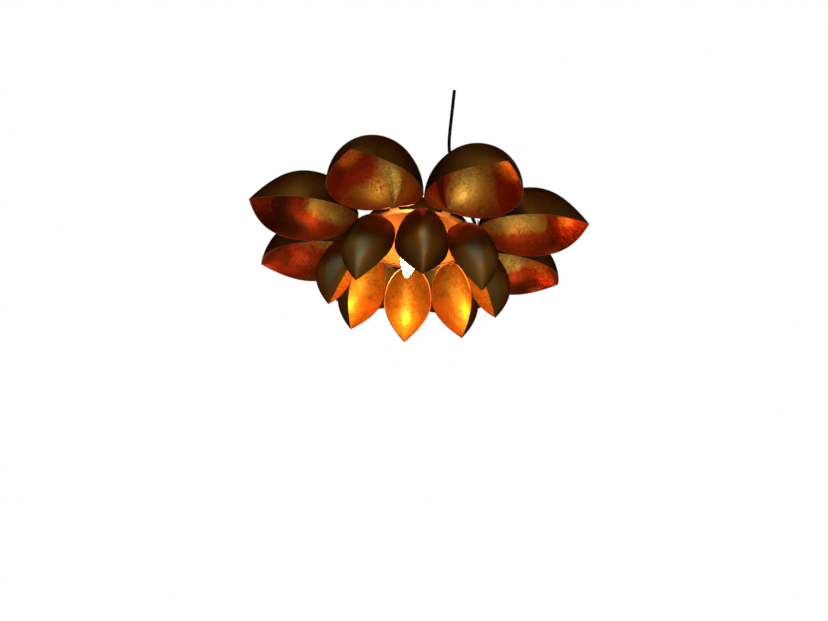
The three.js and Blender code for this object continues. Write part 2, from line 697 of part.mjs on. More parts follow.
const lowerCorner = new THREE.Vector3(BRACKET_REACH, 0, 0).applyMatrix4(holderFrame.matrix);
const uprightOutside = lowerCorner.x;

function bracketGeometry() {
  const legLength = BRACKET_REACH + BRACKET_END;
  const upper = new THREE.BoxGeometry(legLength, 2 * BRACKET_HALF_WIDTH, BRACKET_SHEET);
  upper.translate(BRACKET_REACH - legLength / 2, 0, bracketTop - BRACKET_SHEET / 2);
  const lower = new THREE.BoxGeometry(legLength, 2 * BRACKET_HALF_WIDTH, BRACKET_SHEET);
  lower.translate(BRACKET_REACH - legLength / 2, 0, BRACKET_SHEET / 2).applyMatrix4(holderFrame.matrix);
  const upright = new THREE.BoxGeometry(BRACKET_SHEET, 2 * BRACKET_HALF_WIDTH, bracketTop - lowerCorner.z);
  upright.translate(uprightOutside - BRACKET_SHEET / 2, 0, (bracketTop + lowerCorner.z) / 2);
  const holeRadius = STEM_RADIUS + HOLE_CLEARANCE;
  const stemHole = bar(holeRadius, bracketTop - BRACKET_SHEET - CUT_PAST, bracketTop + CUT_PAST, BORE_FACETS);
  const holderHole = bar(holeRadius, -CUT_PAST, BRACKET_SHEET + CUT_PAST, BORE_FACETS);
  holderHole.applyMatrix4(holderFrame.matrix);
  const screwHole = bar(EARTH_SCREW_RADIUS + HOLE_CLEARANCE, -EARTH_SCREW_LENGTH, CUT_PAST, SMALL_FACETS);
  earthScrewPlace(screwHole);
  return cut(joined(upper, lower, upright), stemHole, holderHole, screwHole);
}

// The earth screw goes in square through the upright leg; its own Z points out of the head.
const earthScrewLevel = bracketTop - BRACKET_SHEET - BRACKET_DROP / 2;
function earthScrewPlace(geometry) {
  return geometry.rotateY(Math.PI / 2).translate(uprightOutside, 0, earthScrewLevel);
}

addPiece(lamp, 'holder_bracket', bracketGeometry(), ZINC);

const earthScrew = turned([
  [0, -EARTH_SCREW_LENGTH],
  [EARTH_SCREW_RADIUS, -EARTH_SCREW_LENGTH],
  [EARTH_SCREW_RADIUS, SEAT_GAP],
  [EARTH_SCREW_HEAD_RADIUS, SEAT_GAP],
  [EARTH_SCREW_HEAD_RADIUS, SEAT_GAP + EARTH_SCREW_HEAD_HEIGHT],
  [0, SEAT_GAP + EARTH_SCREW_HEAD_HEIGHT],
], SMALL_FACETS);
addPiece(lamp, 'earth_screw', earthScrewPlace(earthScrew), BRASS);

// Lampholder, downwards from the bracket's lower leg
const holderNutBottom = BRACKET_SHEET + SEAT_GAP;
const nippleTop = holderNutBottom + HOLDER_NUT_HEIGHT + HOLDER_NIPPLE_ABOVE_NUT;
const capTop = -SEAT_GAP;
const capBottom = capTop - HOLDER_CAP_HEIGHT;
const shellTop = capBottom - SEAT_GAP;
const shellBottom = shellTop - HOLDER_SHELL_LENGTH;
const insertTop = shellTop + HOLDER_INSERT_IN_CAP;
const insertBottom = insertTop - HOLDER_INSERT_HEIGHT;
const threadTop = insertBottom - SEAT_GAP;
const threadBottom = threadTop - HOLDER_THREAD_LENGTH;

addPiece(holderFrame, 'holder_nipple', sleeve(STEM_BORE, STEM_RADIUS, capTop - HOLDER_NIPPLE_IN_CAP, nippleTop), ZINC);
addPiece(holderFrame, 'holder_nut', hexNut(STEM_RADIUS, HOLDER_NUT_WALL,
  holderNutBottom, holderNutBottom + HOLDER_NUT_HEIGHT), ZINC);

const shellInside = HOLDER_RADIUS - HOLDER_WALL;
const [capTopStep, capShoulderStep] = HOLDER_CAP_STEPS;
addPiece(holderFrame, 'holder_cap', turned([
  [stemThreadBore, capTop],
  [HOLDER_RADIUS - capTopStep, capTop],
  [HOLDER_RADIUS - capShoulderStep, capTop - HOLDER_CAP_SHOULDER],
  [HOLDER_RADIUS, capTop - HOLDER_CAP_ROOF],
  [HOLDER_RADIUS, capBottom],
  [shellInside, capBottom],
  [shellInside, capTop - HOLDER_CAP_ROOF],
  [stemThreadBore, capTop - HOLDER_CAP_ROOF],
], TURNED_FACETS), BLACK_PLASTIC);

addPiece(holderFrame, 'holder_shell', turned([
  [shellInside, shellTop],
  [HOLDER_RADIUS, shellTop],
  [HOLDER_RADIUS, shellBottom + HOLDER_WALL / 2],
  [HOLDER_RADIUS - HOLDER_WALL / 2, shellBottom],
  [shellInside, shellBottom],
], TURNED_FACETS), BLACK_PLASTIC);

// The porcelain insert fills the shell's top, and its bore lets the leads through.
const insertRadius = shellInside - SEAT_GAP;
const insert = sleeve(HOLDER_INSERT_BORE, insertRadius, insertBottom, insertTop);
addPiece(holderFrame, 'holder_insert', insert, PORCELAIN);

const threadInside = BULB_CAP_RADIUS + BULB_CAP_CLEARANCE;
const thread = sleeve(threadInside, threadInside + HOLDER_THREAD_WALL, threadBottom, threadTop, BORE_FACETS);
addPiece(holderFrame, 'holder_thread', thread, BRASS);

// A spring strip under the insert touches the bulb's end contact.
const contactUnder = threadTop - CONTACT_DROP;
const bulbTop = contactUnder - SEAT_GAP;
const contactStrip = new THREE.BoxGeometry(CONTACT_LENGTH, CONTACT_WIDTH, CONTACT_SHEET);
contactStrip.translate(0, 0, contactUnder + CONTACT_SHEET / 2);
const contactFoot = new THREE.BoxGeometry(CONTACT_FOOT, CONTACT_WIDTH, CONTACT_DROP);
contactFoot.translate(-(CONTACT_LENGTH + CONTACT_FOOT) / 2, 0, threadTop - CONTACT_DROP / 2);
addPiece(holderFrame, 'holder_contact', joined(contactStrip, contactFoot), BRASS);

// Candle bulb
const bulbCapTop = bulbTop - BULB_CONTACT_HEIGHT - SEAT_GAP;
const bulbCapBottom = bulbCapTop - BULB_CAP_LENGTH;
const endContact = bar(BULB_CONTACT_RADIUS, bulbTop - BULB_CONTACT_HEIGHT, bulbTop, SMALL_FACETS);
addPiece(holderFrame, 'bulb_contact', endContact, BRASS);
addPiece(holderFrame, 'bulb_cap', turned([
  [BULB_CAP_OPENING, bulbCapTop],
  [BULB_CAP_CROWN, bulbCapTop],
  [BULB_CAP_RADIUS, bulbCapTop - BULB_CAP_TAPER],
  [BULB_CAP_RADIUS, bulbCapBottom],
  [BULB_CAP_RADIUS - BULB_CAP_WALL, bulbCapBottom],
  [BULB_CAP_RADIUS - BULB_CAP_WALL, bulbCapTop - BULB_CAP_TAPER],
  [BULB_CAP_OPENING, bulbCapTop - BULB_CAP_WALL],
], BORE_FACETS), BRASS);

// Half outline of the glass at an inset from its outer face, neck to tip.
function candleOutline(inset) {
  const neck = BULB_CAP_RADIUS + BULB_NECK_OVER_CAP - inset;
  const belly = BULB_RADIUS - inset;
  const tip = BULB_TIP_RADIUS - inset;
  const points = [];
  for (let i = 0; i <= BULB_SWELL_STEPS; i += 1) {
    const share = i / BULB_SWELL_STEPS;
    const swell = (1 - Math.cos(share * Math.PI)) / 2;
    points.push([neck + (belly - neck) * swell, -share * BULB_BELLY_AT]);
  }
  const taper = BULB_GLASS_LENGTH - BULB_BELLY_AT - BULB_TIP_RADIUS;
  const edge = Math.cos(BULB_TAPER_TURN) ** BULB_TAPER_POWER;
  for (let i = 1; i <= BULB_TAPER_STEPS; i += 1) {
    const share = i / BULB_TAPER_STEPS;
    const narrowing = Math.cos(share * BULB_TAPER_TURN) ** BULB_TAPER_POWER;
    const radius = tip + (belly - tip) * (narrowing - edge) / (1 - edge);
    points.push([radius, -BULB_BELLY_AT - share * taper]);
  }
  const rounding = tip * BULB_TIP_ROUNDING;
  points.push([rounding, -BULB_GLASS_LENGTH + BULB_TIP_RADIUS - rounding]);
  points.push([0, -BULB_GLASS_LENGTH + inset]);
  return points;
}

const glassTop = bulbCapBottom - SEAT_GAP;
const outsideGlass = candleOutline(0).map(([r, z]) => [r, z + glassTop]);
const insideGlass = candleOutline(BULB_GLASS_WALL).map(([r, z]) => [r, z + glassTop]).reverse();
addPiece(holderFrame, 'bulb_glass', turned([...insideGlass, ...outsideGlass].reverse(), BULB_FACETS), OPAL_GLASS);

// The glass stem inside the bulb flares at its foot to the screw cap's wall.
const footRadius = BULB_CAP_RADIUS - BULB_CAP_WALL - SEAT_GAP;
addPiece(holderFrame, 'bulb_stem', turned([
  [0, bulbCapBottom + BULB_STEM_FOOT],
  [BULB_STEM_RADIUS, bulbCapBottom + BULB_STEM_FOOT],
  [footRadius, bulbCapBottom + BULB_STEM_RIM],
  [footRadius, bulbCapBottom],
  [BULB_STEM_RADIUS, glassTop - BULB_STEM_FOOT],
  [BULB_STEM_NECK, glassTop - 2 * BULB_STEM_FOOT],
  [BULB_STEM_NECK, glassTop - BULB_STEM_LENGTH],
  [0, glassTop - BULB_STEM_LENGTH],
], SMALL_FACETS), OPAL_GLASS);

// Cord gland, from the dome's outer face
const gland = new THREE.Group();
gland.applyMatrix4(glandFrame());
lamp.add(gland);
addPiece(gland, 'cord_gland', turned([
  [0, -GLAND_THREAD_LENGTH - SHEATH_END_LENGTH],
  [CORD_RADIUS, -GLAND_THREAD_LENGTH - SHEATH_END_LENGTH],
  [CORD_RADIUS, -GLAND_THREAD_LENGTH],
  [GLAND_THREAD_RADIUS, -GLAND_THREAD_LENGTH],
  [GLAND_THREAD_RADIUS, SEAT_GAP],
  [GLAND_BODY_RADIUS, SEAT_GAP],
  [GLAND_BODY_RADIUS, GLAND_BODY_LENGTH - GLAND_BODY_CHAMFER],
  [GLAND_BODY_RADIUS - GLAND_BODY_CHAMFER, GLAND_BODY_LENGTH],
  [GLAND_TIP_RADIUS + GLAND_TAPER_GAIN, GLAND_BODY_LENGTH + GLAND_TAPER_GAIN],
  [GLAND_TIP_RADIUS, GLAND_BODY_LENGTH + GLAND_TAPER_LENGTH],
  [0, GLAND_BODY_LENGTH + GLAND_TAPER_LENGTH],
], BORE_FACETS), BLACK_PLASTIC);
const glandNutTop = -DISH_WALL - GLAND_NUT_CLEARANCE;
addPiece(gland, 'gland_nut', hexNut(GLAND_THREAD_RADIUS, GLAND_NUT_WALL,
  glandNutTop - GLAND_NUT_HEIGHT, glandNutTop), BLACK_PLASTIC);

// Leads from the end of the sheath inside the gland: two down the holder's nipple, one to the earth screw
lamp.updateMatrixWorld(true);
const inLampFrame = (object, x, y, z) => lamp.worldToLocal(object.localToWorld(new THREE.Vector3(x, y, z)));
const leadStart = -GLAND_THREAD_LENGTH - SHEATH_END_LENGTH - SEAT_GAP;
const leadEnd = insertTop - HOLDER_INSERT_HEIGHT / 2;
const leadBendTop = nippleTop + LEAD_ABOVE_NIPPLE;

// The three leads leave the sheath as a triangle, at an angle of their own each.
const leadFan = LEAD_SPACING / Math.sqrt(3);
function leadAtGland(angleDeg, level) {
  const angle = radians(angleDeg);
  return inLampFrame(gland, leadFan * Math.cos(angle), leadFan * Math.sin(angle), level);
}

// A place on the bow between two ends, at a share of the way.
function onBow(from, to, share, lift) {
  const place = from.clone().lerp(to, share);
  place.z += lift * Math.sin(share * Math.PI);
  return place;
}

function holderLead(side, angleDeg) {
  const offset = (side * LEAD_SPACING) / 2;
  const out = leadAtGland(angleDeg, leadStart - LEAD_STRAIGHT);
  const bend = inLampFrame(holderFrame, LEAD_BEND_REACH, LEAD_BEND_REACH + offset, leadBendTop);
  return [
    leadAtGland(angleDeg, leadStart),
    out,
    onBow(out, bend, 1 / 3, HOLDER_LEAD_LIFT),
    onBow(out, bend, 2 / 3, HOLDER_LEAD_LIFT),
    bend,
    inLampFrame(holderFrame, LEAD_RADIUS, LEAD_RADIUS + offset, (nippleTop + leadBendTop) / 2),
    inLampFrame(holderFrame, 0, offset, nippleTop - STEM_RADIUS),
    inLampFrame(holderFrame, 0, offset, leadEnd),
  ];
}

const liveRoute = holderLead(1, LEAD_ANGLES_DEG.live);
const neutralRoute = holderLead(-1, LEAD_ANGLES_DEG.neutral);
const liveLead = tubeAlong(liveRoute, LEAD_RADIUS, LEAD_SIDES, 2 * LEAD_STEPS);
const neutralLead = tubeAlong(neutralRoute, LEAD_RADIUS, LEAD_SIDES, 2 * LEAD_STEPS);
addPiece(lamp, 'live_lead', liveLead, LEAD_BROWN);
addPiece(lamp, 'neutral_lead', neutralLead, LEAD_BLUE);

const screwFace = uprightOutside + SEAT_GAP + EARTH_SCREW_HEAD_HEIGHT + SEAT_GAP;
function earthLead() {
  const out = leadAtGland(LEAD_ANGLES_DEG.earth, leadStart - LEAD_STRAIGHT);
  const turnIn = new THREE.Vector3(screwFace + LEAD_STRAIGHT, 0, earthScrewLevel - LEAD_RADIUS);
  return [
    leadAtGland(LEAD_ANGLES_DEG.earth, leadStart),
    out,
    onBow(out, turnIn, 0.5, EARTH_LEAD_LIFT),
    turnIn,
    new THREE.Vector3(screwFace + LEAD_STRAIGHT / 2, 0, earthScrewLevel),
    new THREE.Vector3(screwFace, 0, earthScrewLevel),
  ];
}
addPiece(lamp, 'earth_lead', tubeAlong(earthLead(), LEAD_RADIUS, LEAD_SIDES, LEAD_STEPS), LEAD_GREEN);

// Cord
const cordRoute = CORD_ROUTE.map((place) => new THREE.Vector3(...place));
addPiece(group, 'cord', tubeAlong(cordRoute, CORD_RADIUS, CORD_SIDES, CORD_STEPS), CORD_BLACK);

group.updateMatrixWorld(true);
export default group;
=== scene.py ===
"""Pendant lamp shaped as an open flower: petals of bronzed metal, leafed with gold inside, round a lit bulb.

Every length is in metres, in the lamp's own frame: +Z up, origin at the place of the hanging loop that
bears on its hook.
"""
import logging
import math
from dataclasses import dataclass, field
from enum import Enum
from typing import Callable, Sequence

import bmesh
import bpy
from mathutils import Matrix, Vector


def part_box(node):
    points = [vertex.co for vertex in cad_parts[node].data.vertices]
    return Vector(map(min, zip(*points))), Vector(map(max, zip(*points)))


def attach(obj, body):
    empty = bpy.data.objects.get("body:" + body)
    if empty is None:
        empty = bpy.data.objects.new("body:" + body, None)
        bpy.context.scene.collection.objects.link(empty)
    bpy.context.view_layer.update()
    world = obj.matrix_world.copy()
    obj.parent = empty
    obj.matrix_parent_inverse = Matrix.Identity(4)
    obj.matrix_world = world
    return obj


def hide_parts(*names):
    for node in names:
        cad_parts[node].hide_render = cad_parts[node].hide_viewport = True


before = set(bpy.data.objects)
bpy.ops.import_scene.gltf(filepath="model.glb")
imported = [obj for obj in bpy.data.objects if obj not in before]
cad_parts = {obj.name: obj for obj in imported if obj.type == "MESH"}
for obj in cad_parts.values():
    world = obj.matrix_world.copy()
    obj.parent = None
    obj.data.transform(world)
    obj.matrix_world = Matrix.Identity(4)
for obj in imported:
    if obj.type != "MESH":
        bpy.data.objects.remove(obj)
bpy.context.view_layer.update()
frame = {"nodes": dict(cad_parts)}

LOG = logging.getLogger("pendant_lamp")

Span = tuple[float, float]
Triple = tuple[float, float, float]
Colour = Triple
Outline = Sequence[tuple[float, float]]

# Limits and steps that the mesh helpers share
MERGE_DISTANCE = 1e-6
SLIVER_LENGTH = 1e-7
BEVEL_SEGMENTS = 2
BEVEL_FROM_DEG = 40.0
THREAD_ROWS_PER_TURN = 8
SHORT_THREAD_ROWS = 40


class Body(Enum):
    """The bodies that the scene's pieces ride on."""

    LAMP = "lamp"
    BULB = "bulb"


class WearAndLight(Enum):
    """What a patch on a petal shows, by its place in the mesh's attribute: bright leaf and a painted
    highlight, worn leaf, and a painted glow of the bulb's light.
    """

    GILT = 0
    WORN = 1
    GLOW = 2


class Ring(Enum):
    """The two rings of petals."""

    OUTER = "outer"
    INNER = "inner"


class Side(Enum):
    """The parts of a shell's mesh, by their material numbers."""

    OUTSIDE = 0
    INSIDE = 1
    RIM = 2


class Slot(Enum):
    """The material slots of the record."""

    BRONZE = "bronze"
    DARK_STEEL = "dark_steel"
    ZINC = "zinc"
    BRASS = "brass"
    BLACK_PLASTIC = "black_plastic"
    PORCELAIN = "porcelain"
    OPAL_GLASS = "opal_glass"
    LEAD_BROWN = "lead_brown"
    LEAD_BLUE = "lead_blue"
    LEAD_GREEN = "lead_green"
    CORD_BLACK = "cord_black"


# Shader maths


class Value:
    """A number that varies over a surface, which takes part in Python expressions."""

    def __init__(self, tree: "ShaderTree", socket: bpy.types.NodeSocket) -> None:
        """Keeps the socket and the tree it belongs to.

        Args:
            tree: The shader under construction.
            socket: An output socket that gives one number.
        """
        self.tree = tree
        self.socket = socket

    def _math(self, operation: str, first: "Value | float", second: "Value | float") -> "Value":
        """Adds one Math node.

        Args:
            operation: Blender's name of the operation.
            first: The first operand.
            second: The second operand.

        Returns:
            The result as a value.
        """
        return self.tree.value("ShaderNodeMath", {"operation": operation}, {0: first, 1: second})

    def __add__(self, other: "Value | float") -> "Value":
        """Sum."""
        return self._math("ADD", self, other)

    __radd__ = __add__

    def __sub__(self, other: "Value | float") -> "Value":
        """Difference."""
        return self._math("SUBTRACT", self, other)

    def __rsub__(self, other: "Value | float") -> "Value":
        """Difference with the value on the right."""
        return self._math("SUBTRACT", other, self)

    def __mul__(self, other: "Value | float") -> "Value":
        """Product."""
        return self._math("MULTIPLY", self, other)

    __rmul__ = __mul__

    def __or__(self, other: "Value | float") -> "Value":
        """The greater of two, as where either of two masks holds."""
        return self._math("MAXIMUM", self, other)

    __ror__ = __or__

    def step(self, low: float, high: float) -> "Value":
        """Smooth step from 0 at low to 1 at high, or down where high is below low.

        Args:
            low: The value that gives 0.
            high: The value that gives 1.

        Returns:
            The stepped value, from 0 to 1.
        """
        ends = {"From Min": low, "From Max": high}
        if high < low:
            ends = {"From Min": high, "From Max": low, "To Min": 1.0, "To Max": 0.0}
        settings = {"interpolation_type": "SMOOTHSTEP"}
        return self.tree.value("ShaderNodeMapRange", settings, {"Value": self, **ends}, "Result")


class ShaderTree:
    """One material or world under construction."""

    MIX_SHARE, MIX_FIRST, MIX_SECOND, MIX_RESULT = 0, 6, 7, 2

    def __init__(self, owner: bpy.types.Material | bpy.types.World) -> None:
        """Empties the owner's node tree.

        Args:
            owner: The material or world that the nodes belong to.
        """
        owner.use_nodes = True
        self.nodes = owner.node_tree.nodes
        self.links = owner.node_tree.links
        self.nodes.clear()

    def node(self, kind: str, settings: dict | None = None, sockets: dict | None = None) -> bpy.types.Node:
        """Adds any node.

        Args:
            kind: Blender's name of the node type.
            settings: Properties of the node, set first.
            sockets: Values or links of its inputs, by name or by number.

        Returns:
            The new node.
        """
        node = self.nodes.new(kind)
        for name, setting in (settings or {}).items():
            setattr(node, name, setting)
        for name, given in (sockets or {}).items():
            self._feed(node.inputs[name], given)
        return node

    def _feed(self, socket: bpy.types.NodeSocket, given: object) -> None:
        """Links an output to a socket, or sets its value.

        Args:
            socket: The input.
            given: A value, an output socket, a colour or a number.
        """
        if isinstance(given, Value):
            given = given.socket
        if isinstance(given, bpy.types.NodeSocket):
            self.links.new(given, socket)
        elif socket.type == "RGBA" and len(given) == 3:
            socket.default_value = (*given, 1.0)
        else:
            socket.default_value = given

    def value(self, kind: str, settings: dict | None = None, sockets: dict | None = None,
              output: str | int = 0) -> Value:
        """Adds a node and gives one of its outputs.

        Args:
            kind: Blender's name of the node type.
            settings: Properties of the node.
            sockets: Values or links of its inputs.
            output: The output's name or number.

        Returns:
            The output as a value.
        """
        return Value(self, self.node(kind, settings, sockets).outputs[output])

    def place(self, stretch: Triple = (1.0, 1.0, 1.0)) -> bpy.types.NodeSocket:
        """The point on the surface in the object's own coordinates.

        Args:
            stretch: A factor on each axis.

        Returns:
            The point's socket.
        """
        point = self.node("ShaderNodeTexCoord").outputs["Object"]
        scaled = self.node("ShaderNodeMapping", None, {"Vector": point, "Scale": stretch})
        return scaled.outputs["Vector"]

    def skin(self, stretch: Triple) -> bpy.types.NodeSocket:
        """The point on a shell's skin: metres one way, metres the other way and the shell's number.

        Args:
            stretch: A factor on each of the three.

        Returns:
            The point's socket.
        """
        point = self.node("ShaderNodeAttribute", {"attribute_name": "skin"}).outputs["Vector"]
        scaled = self.node("ShaderNodeVectorMath", {"operation": "MULTIPLY"}, {0: point, 1: stretch})
        return scaled.outputs[0]

    def noise(self, scale: float, detail: float = 4.0, roughness: float = 0.55, distortion: float = 0.0,
              point: bpy.types.NodeSocket | None = None) -> Value:
        """Cloudy noise from 0 to 1.

        Args:
            scale: Clouds to a metre.
            detail: How many finer layers it has.
            roughness: How strong the finer layers are.
            distortion: How much the clouds are drawn out.
            point: Where it is read, or the object's own coordinates.

        Returns:
            The noise.
        """
        sockets = {"Vector": point or self.place(), "Scale": scale, "Detail": detail,
                   "Roughness": roughness, "Distortion": distortion}
        return self.value("ShaderNodeTexNoise", None, sockets, "Fac")

    def lines(self, scale: float, width: float) -> Value:
        """Thin wandering lines, such as scratches and cracks, where cloudy noise passes its middle.

        Args:
            scale: Clouds to a metre.
            width: How far the noise squared may be from its middle.

        Returns:
            1 on a line and 0 between the lines.
        """
        off = self.noise(scale, roughness=0.6, distortion=1.2) - 0.5
        return (off * off).step(width, 0.0)

    def attribute(self, name: str) -> Value:
        """A number stored on the mesh, such as how far along a petal a point is."""
        return self.value("ShaderNodeAttribute", {"attribute_name": name}, None, "Fac")

    def wear_and_light(self, kind: WearAndLight) -> Value:
        """How strongly a petal's patches of one kind act on a point, stored on the mesh."""
        point = self.node("ShaderNodeAttribute", {"attribute_name": "wear_and_light"}).outputs["Vector"]
        return self.value("ShaderNodeSeparateXYZ", None, {0: point}, kind.value)

    def mix(self, share: Value | float, first: object, second: object) -> bpy.types.NodeSocket:
        """Mixes two colours.

        Args:
            share: How much of the second colour shows.
            first: A colour or a colour socket.
            second: A colour or a colour socket.

        Returns:
            The mixed colour's socket.
        """
        given = {self.MIX_SHARE: share, self.MIX_FIRST: first, self.MIX_SECOND: second}
        return self.node("ShaderNodeMix", {"data_type": "RGBA"}, given).outputs[self.MIX_RESULT]

    def bump(self, height: Value, distance: float, strength: float = 1.0) -> bpy.types.NodeSocket:
        """Small relief.

        Args:
            height: The relief, from 0 to 1.
            distance: How high 1 stands, in metres.
            strength: How much of it shows.

        Returns:
            The normal's socket.
        """
        sockets = {"Height": height, "Distance": distance, "Strength": strength}
        return self.node("ShaderNodeBump", None, sockets).outputs["Normal"]

    def surface(self, **sockets: object) -> None:
        """Ends the material in one Principled shader.

        Args:
            **sockets: Its inputs, with underscores for the spaces in their names.
        """
        named = {name.replace("_", " "): given for name, given in sockets.items()}
        shader = self.node("ShaderNodeBsdfPrincipled", None, named)
        self.node("ShaderNodeOutputMaterial", None, {"Surface": shader.outputs[0]})


def new_material(name: str) -> tuple[bpy.types.Material, ShaderTree]:
    """A new material with an empty tree.

    Args:
        name: The material's name.

    Returns:
        The material and its tree.
    """
    material = bpy.data.materials.new(name)
    return material, ShaderTree(material)


# Finishes


@dataclass(frozen=True)
class Mask:
    """Where one look of a finish shows: between two strengths of a patch kind, with a ragged edge."""

    low: float
    high: float
    ragged: float

    def over(self, wear_and_light: Value, noise: Value) -> Value:
        """The mask for a patch kind's strength, its edge broken up by noise about 0."""
        return (wear_and_light + noise * self.ragged).step(self.low, self.high)


@dataclass(frozen=True)
class AgedBronze:
    """Dark satin bronze on the outside of the petals and the dish.

    Near a petal's root the bronze is redder, partly patina and partly a painted reflection of the lit leaf
    above, and towards its tip more olive. Where the mesh's attribute says so it turns a grey sage, a painted
    highlight laid where the front light's highlight falls. A mesh without the petals' attributes is red all
    over.
    """

    name: str = "aged_bronze"
    # partly painted reflection: on the small petals the root red also stands for the lit leaf's reflection
    red: Colour = (0.380, 0.0850, 0.0045)
    brown: Colour = (0.095, 0.0300, 0.0024)
    olive: Colour = (0.072, 0.0400, 0.0095)
    # painted highlight: sage laid where the front light's highlight falls on the small petals
    sage: Colour = (0.078, 0.0640, 0.0330)
    black: Colour = (0.018, 0.0060, 0.0010)
    red_to: float = 0.62
    red_fade: float = 0.52
    sage_share: float = 0.95
    coat: float = 0.015
    roughness: float = 0.41
    brushing: Triple = (60.0, 420.0, 31.0)
    cloud_share: float = 0.65
    drift: float = 0.4
    olive_span: Span = (0.38, 0.64)
    rubbed_and_painted_light_span: Span = (0.10, 1.00)
    soot_span: Span = (0.58, 0.80)
    soot_share: float = 0.5

    def material(self) -> bpy.types.Material:
        """Builds the material.

        Returns:
            The material.
        """
        made, tree = new_material(self.name)
        along = tree.attribute("along")
        clouds = tree.noise(scale=13.0, detail=3.0, roughness=0.5)
        mottle = tree.noise(scale=85.0, detail=5.0, roughness=0.6)
        brushed = tree.noise(scale=1.0, detail=3.0, roughness=0.6, point=tree.skin(self.brushing))
        patina = clouds * self.cloud_share + mottle * (1 - self.cloud_share)
        colour = tree.mix(patina.step(*self.olive_span), self.brown, self.olive)
        # redder towards the root: patina, and on the small petals also a painted reflection of the lit leaf
        # above
        from_root = along + clouds * self.drift - self.drift / 2
        red_patina_and_reflection = from_root.step(self.red_to, self.red_to - self.red_fade)
        colour = tree.mix(red_patina_and_reflection, colour, self.red)
        # painted highlight: sage streaks where the front light's highlight falls on each small petal
        rubbed_and_painted_light = (tree.wear_and_light(WearAndLight.GILT) + clouds * self.drift - self.drift / 2).step(*self.rubbed_and_painted_light_span)
        colour = tree.mix(rubbed_and_painted_light * self.sage_share, colour, self.sage)
        soot = tree.noise(scale=30.0, detail=6.0, roughness=0.65).step(*self.soot_span)
        colour = tree.mix(soot * self.soot_share, colour, self.black)
        tree.surface(
            Base_Color=colour,
            Metallic=1.0,
            Roughness=self.roughness + mottle * 0.10 + brushed * 0.06 + along * 0.05,
            Specular_Tint=(0.05, 0.02, 0.005, 1.0),
            Coat_Weight=self.coat * (0.7 + mottle * 0.6) if self.coat else 0.0,
            Coat_Roughness=0.27,
            Coat_IOR=1.4,
            Normal=tree.bump(mottle * 0.6 + brushed * 0.4, distance=0.0002, strength=0.4),
        )
        return made


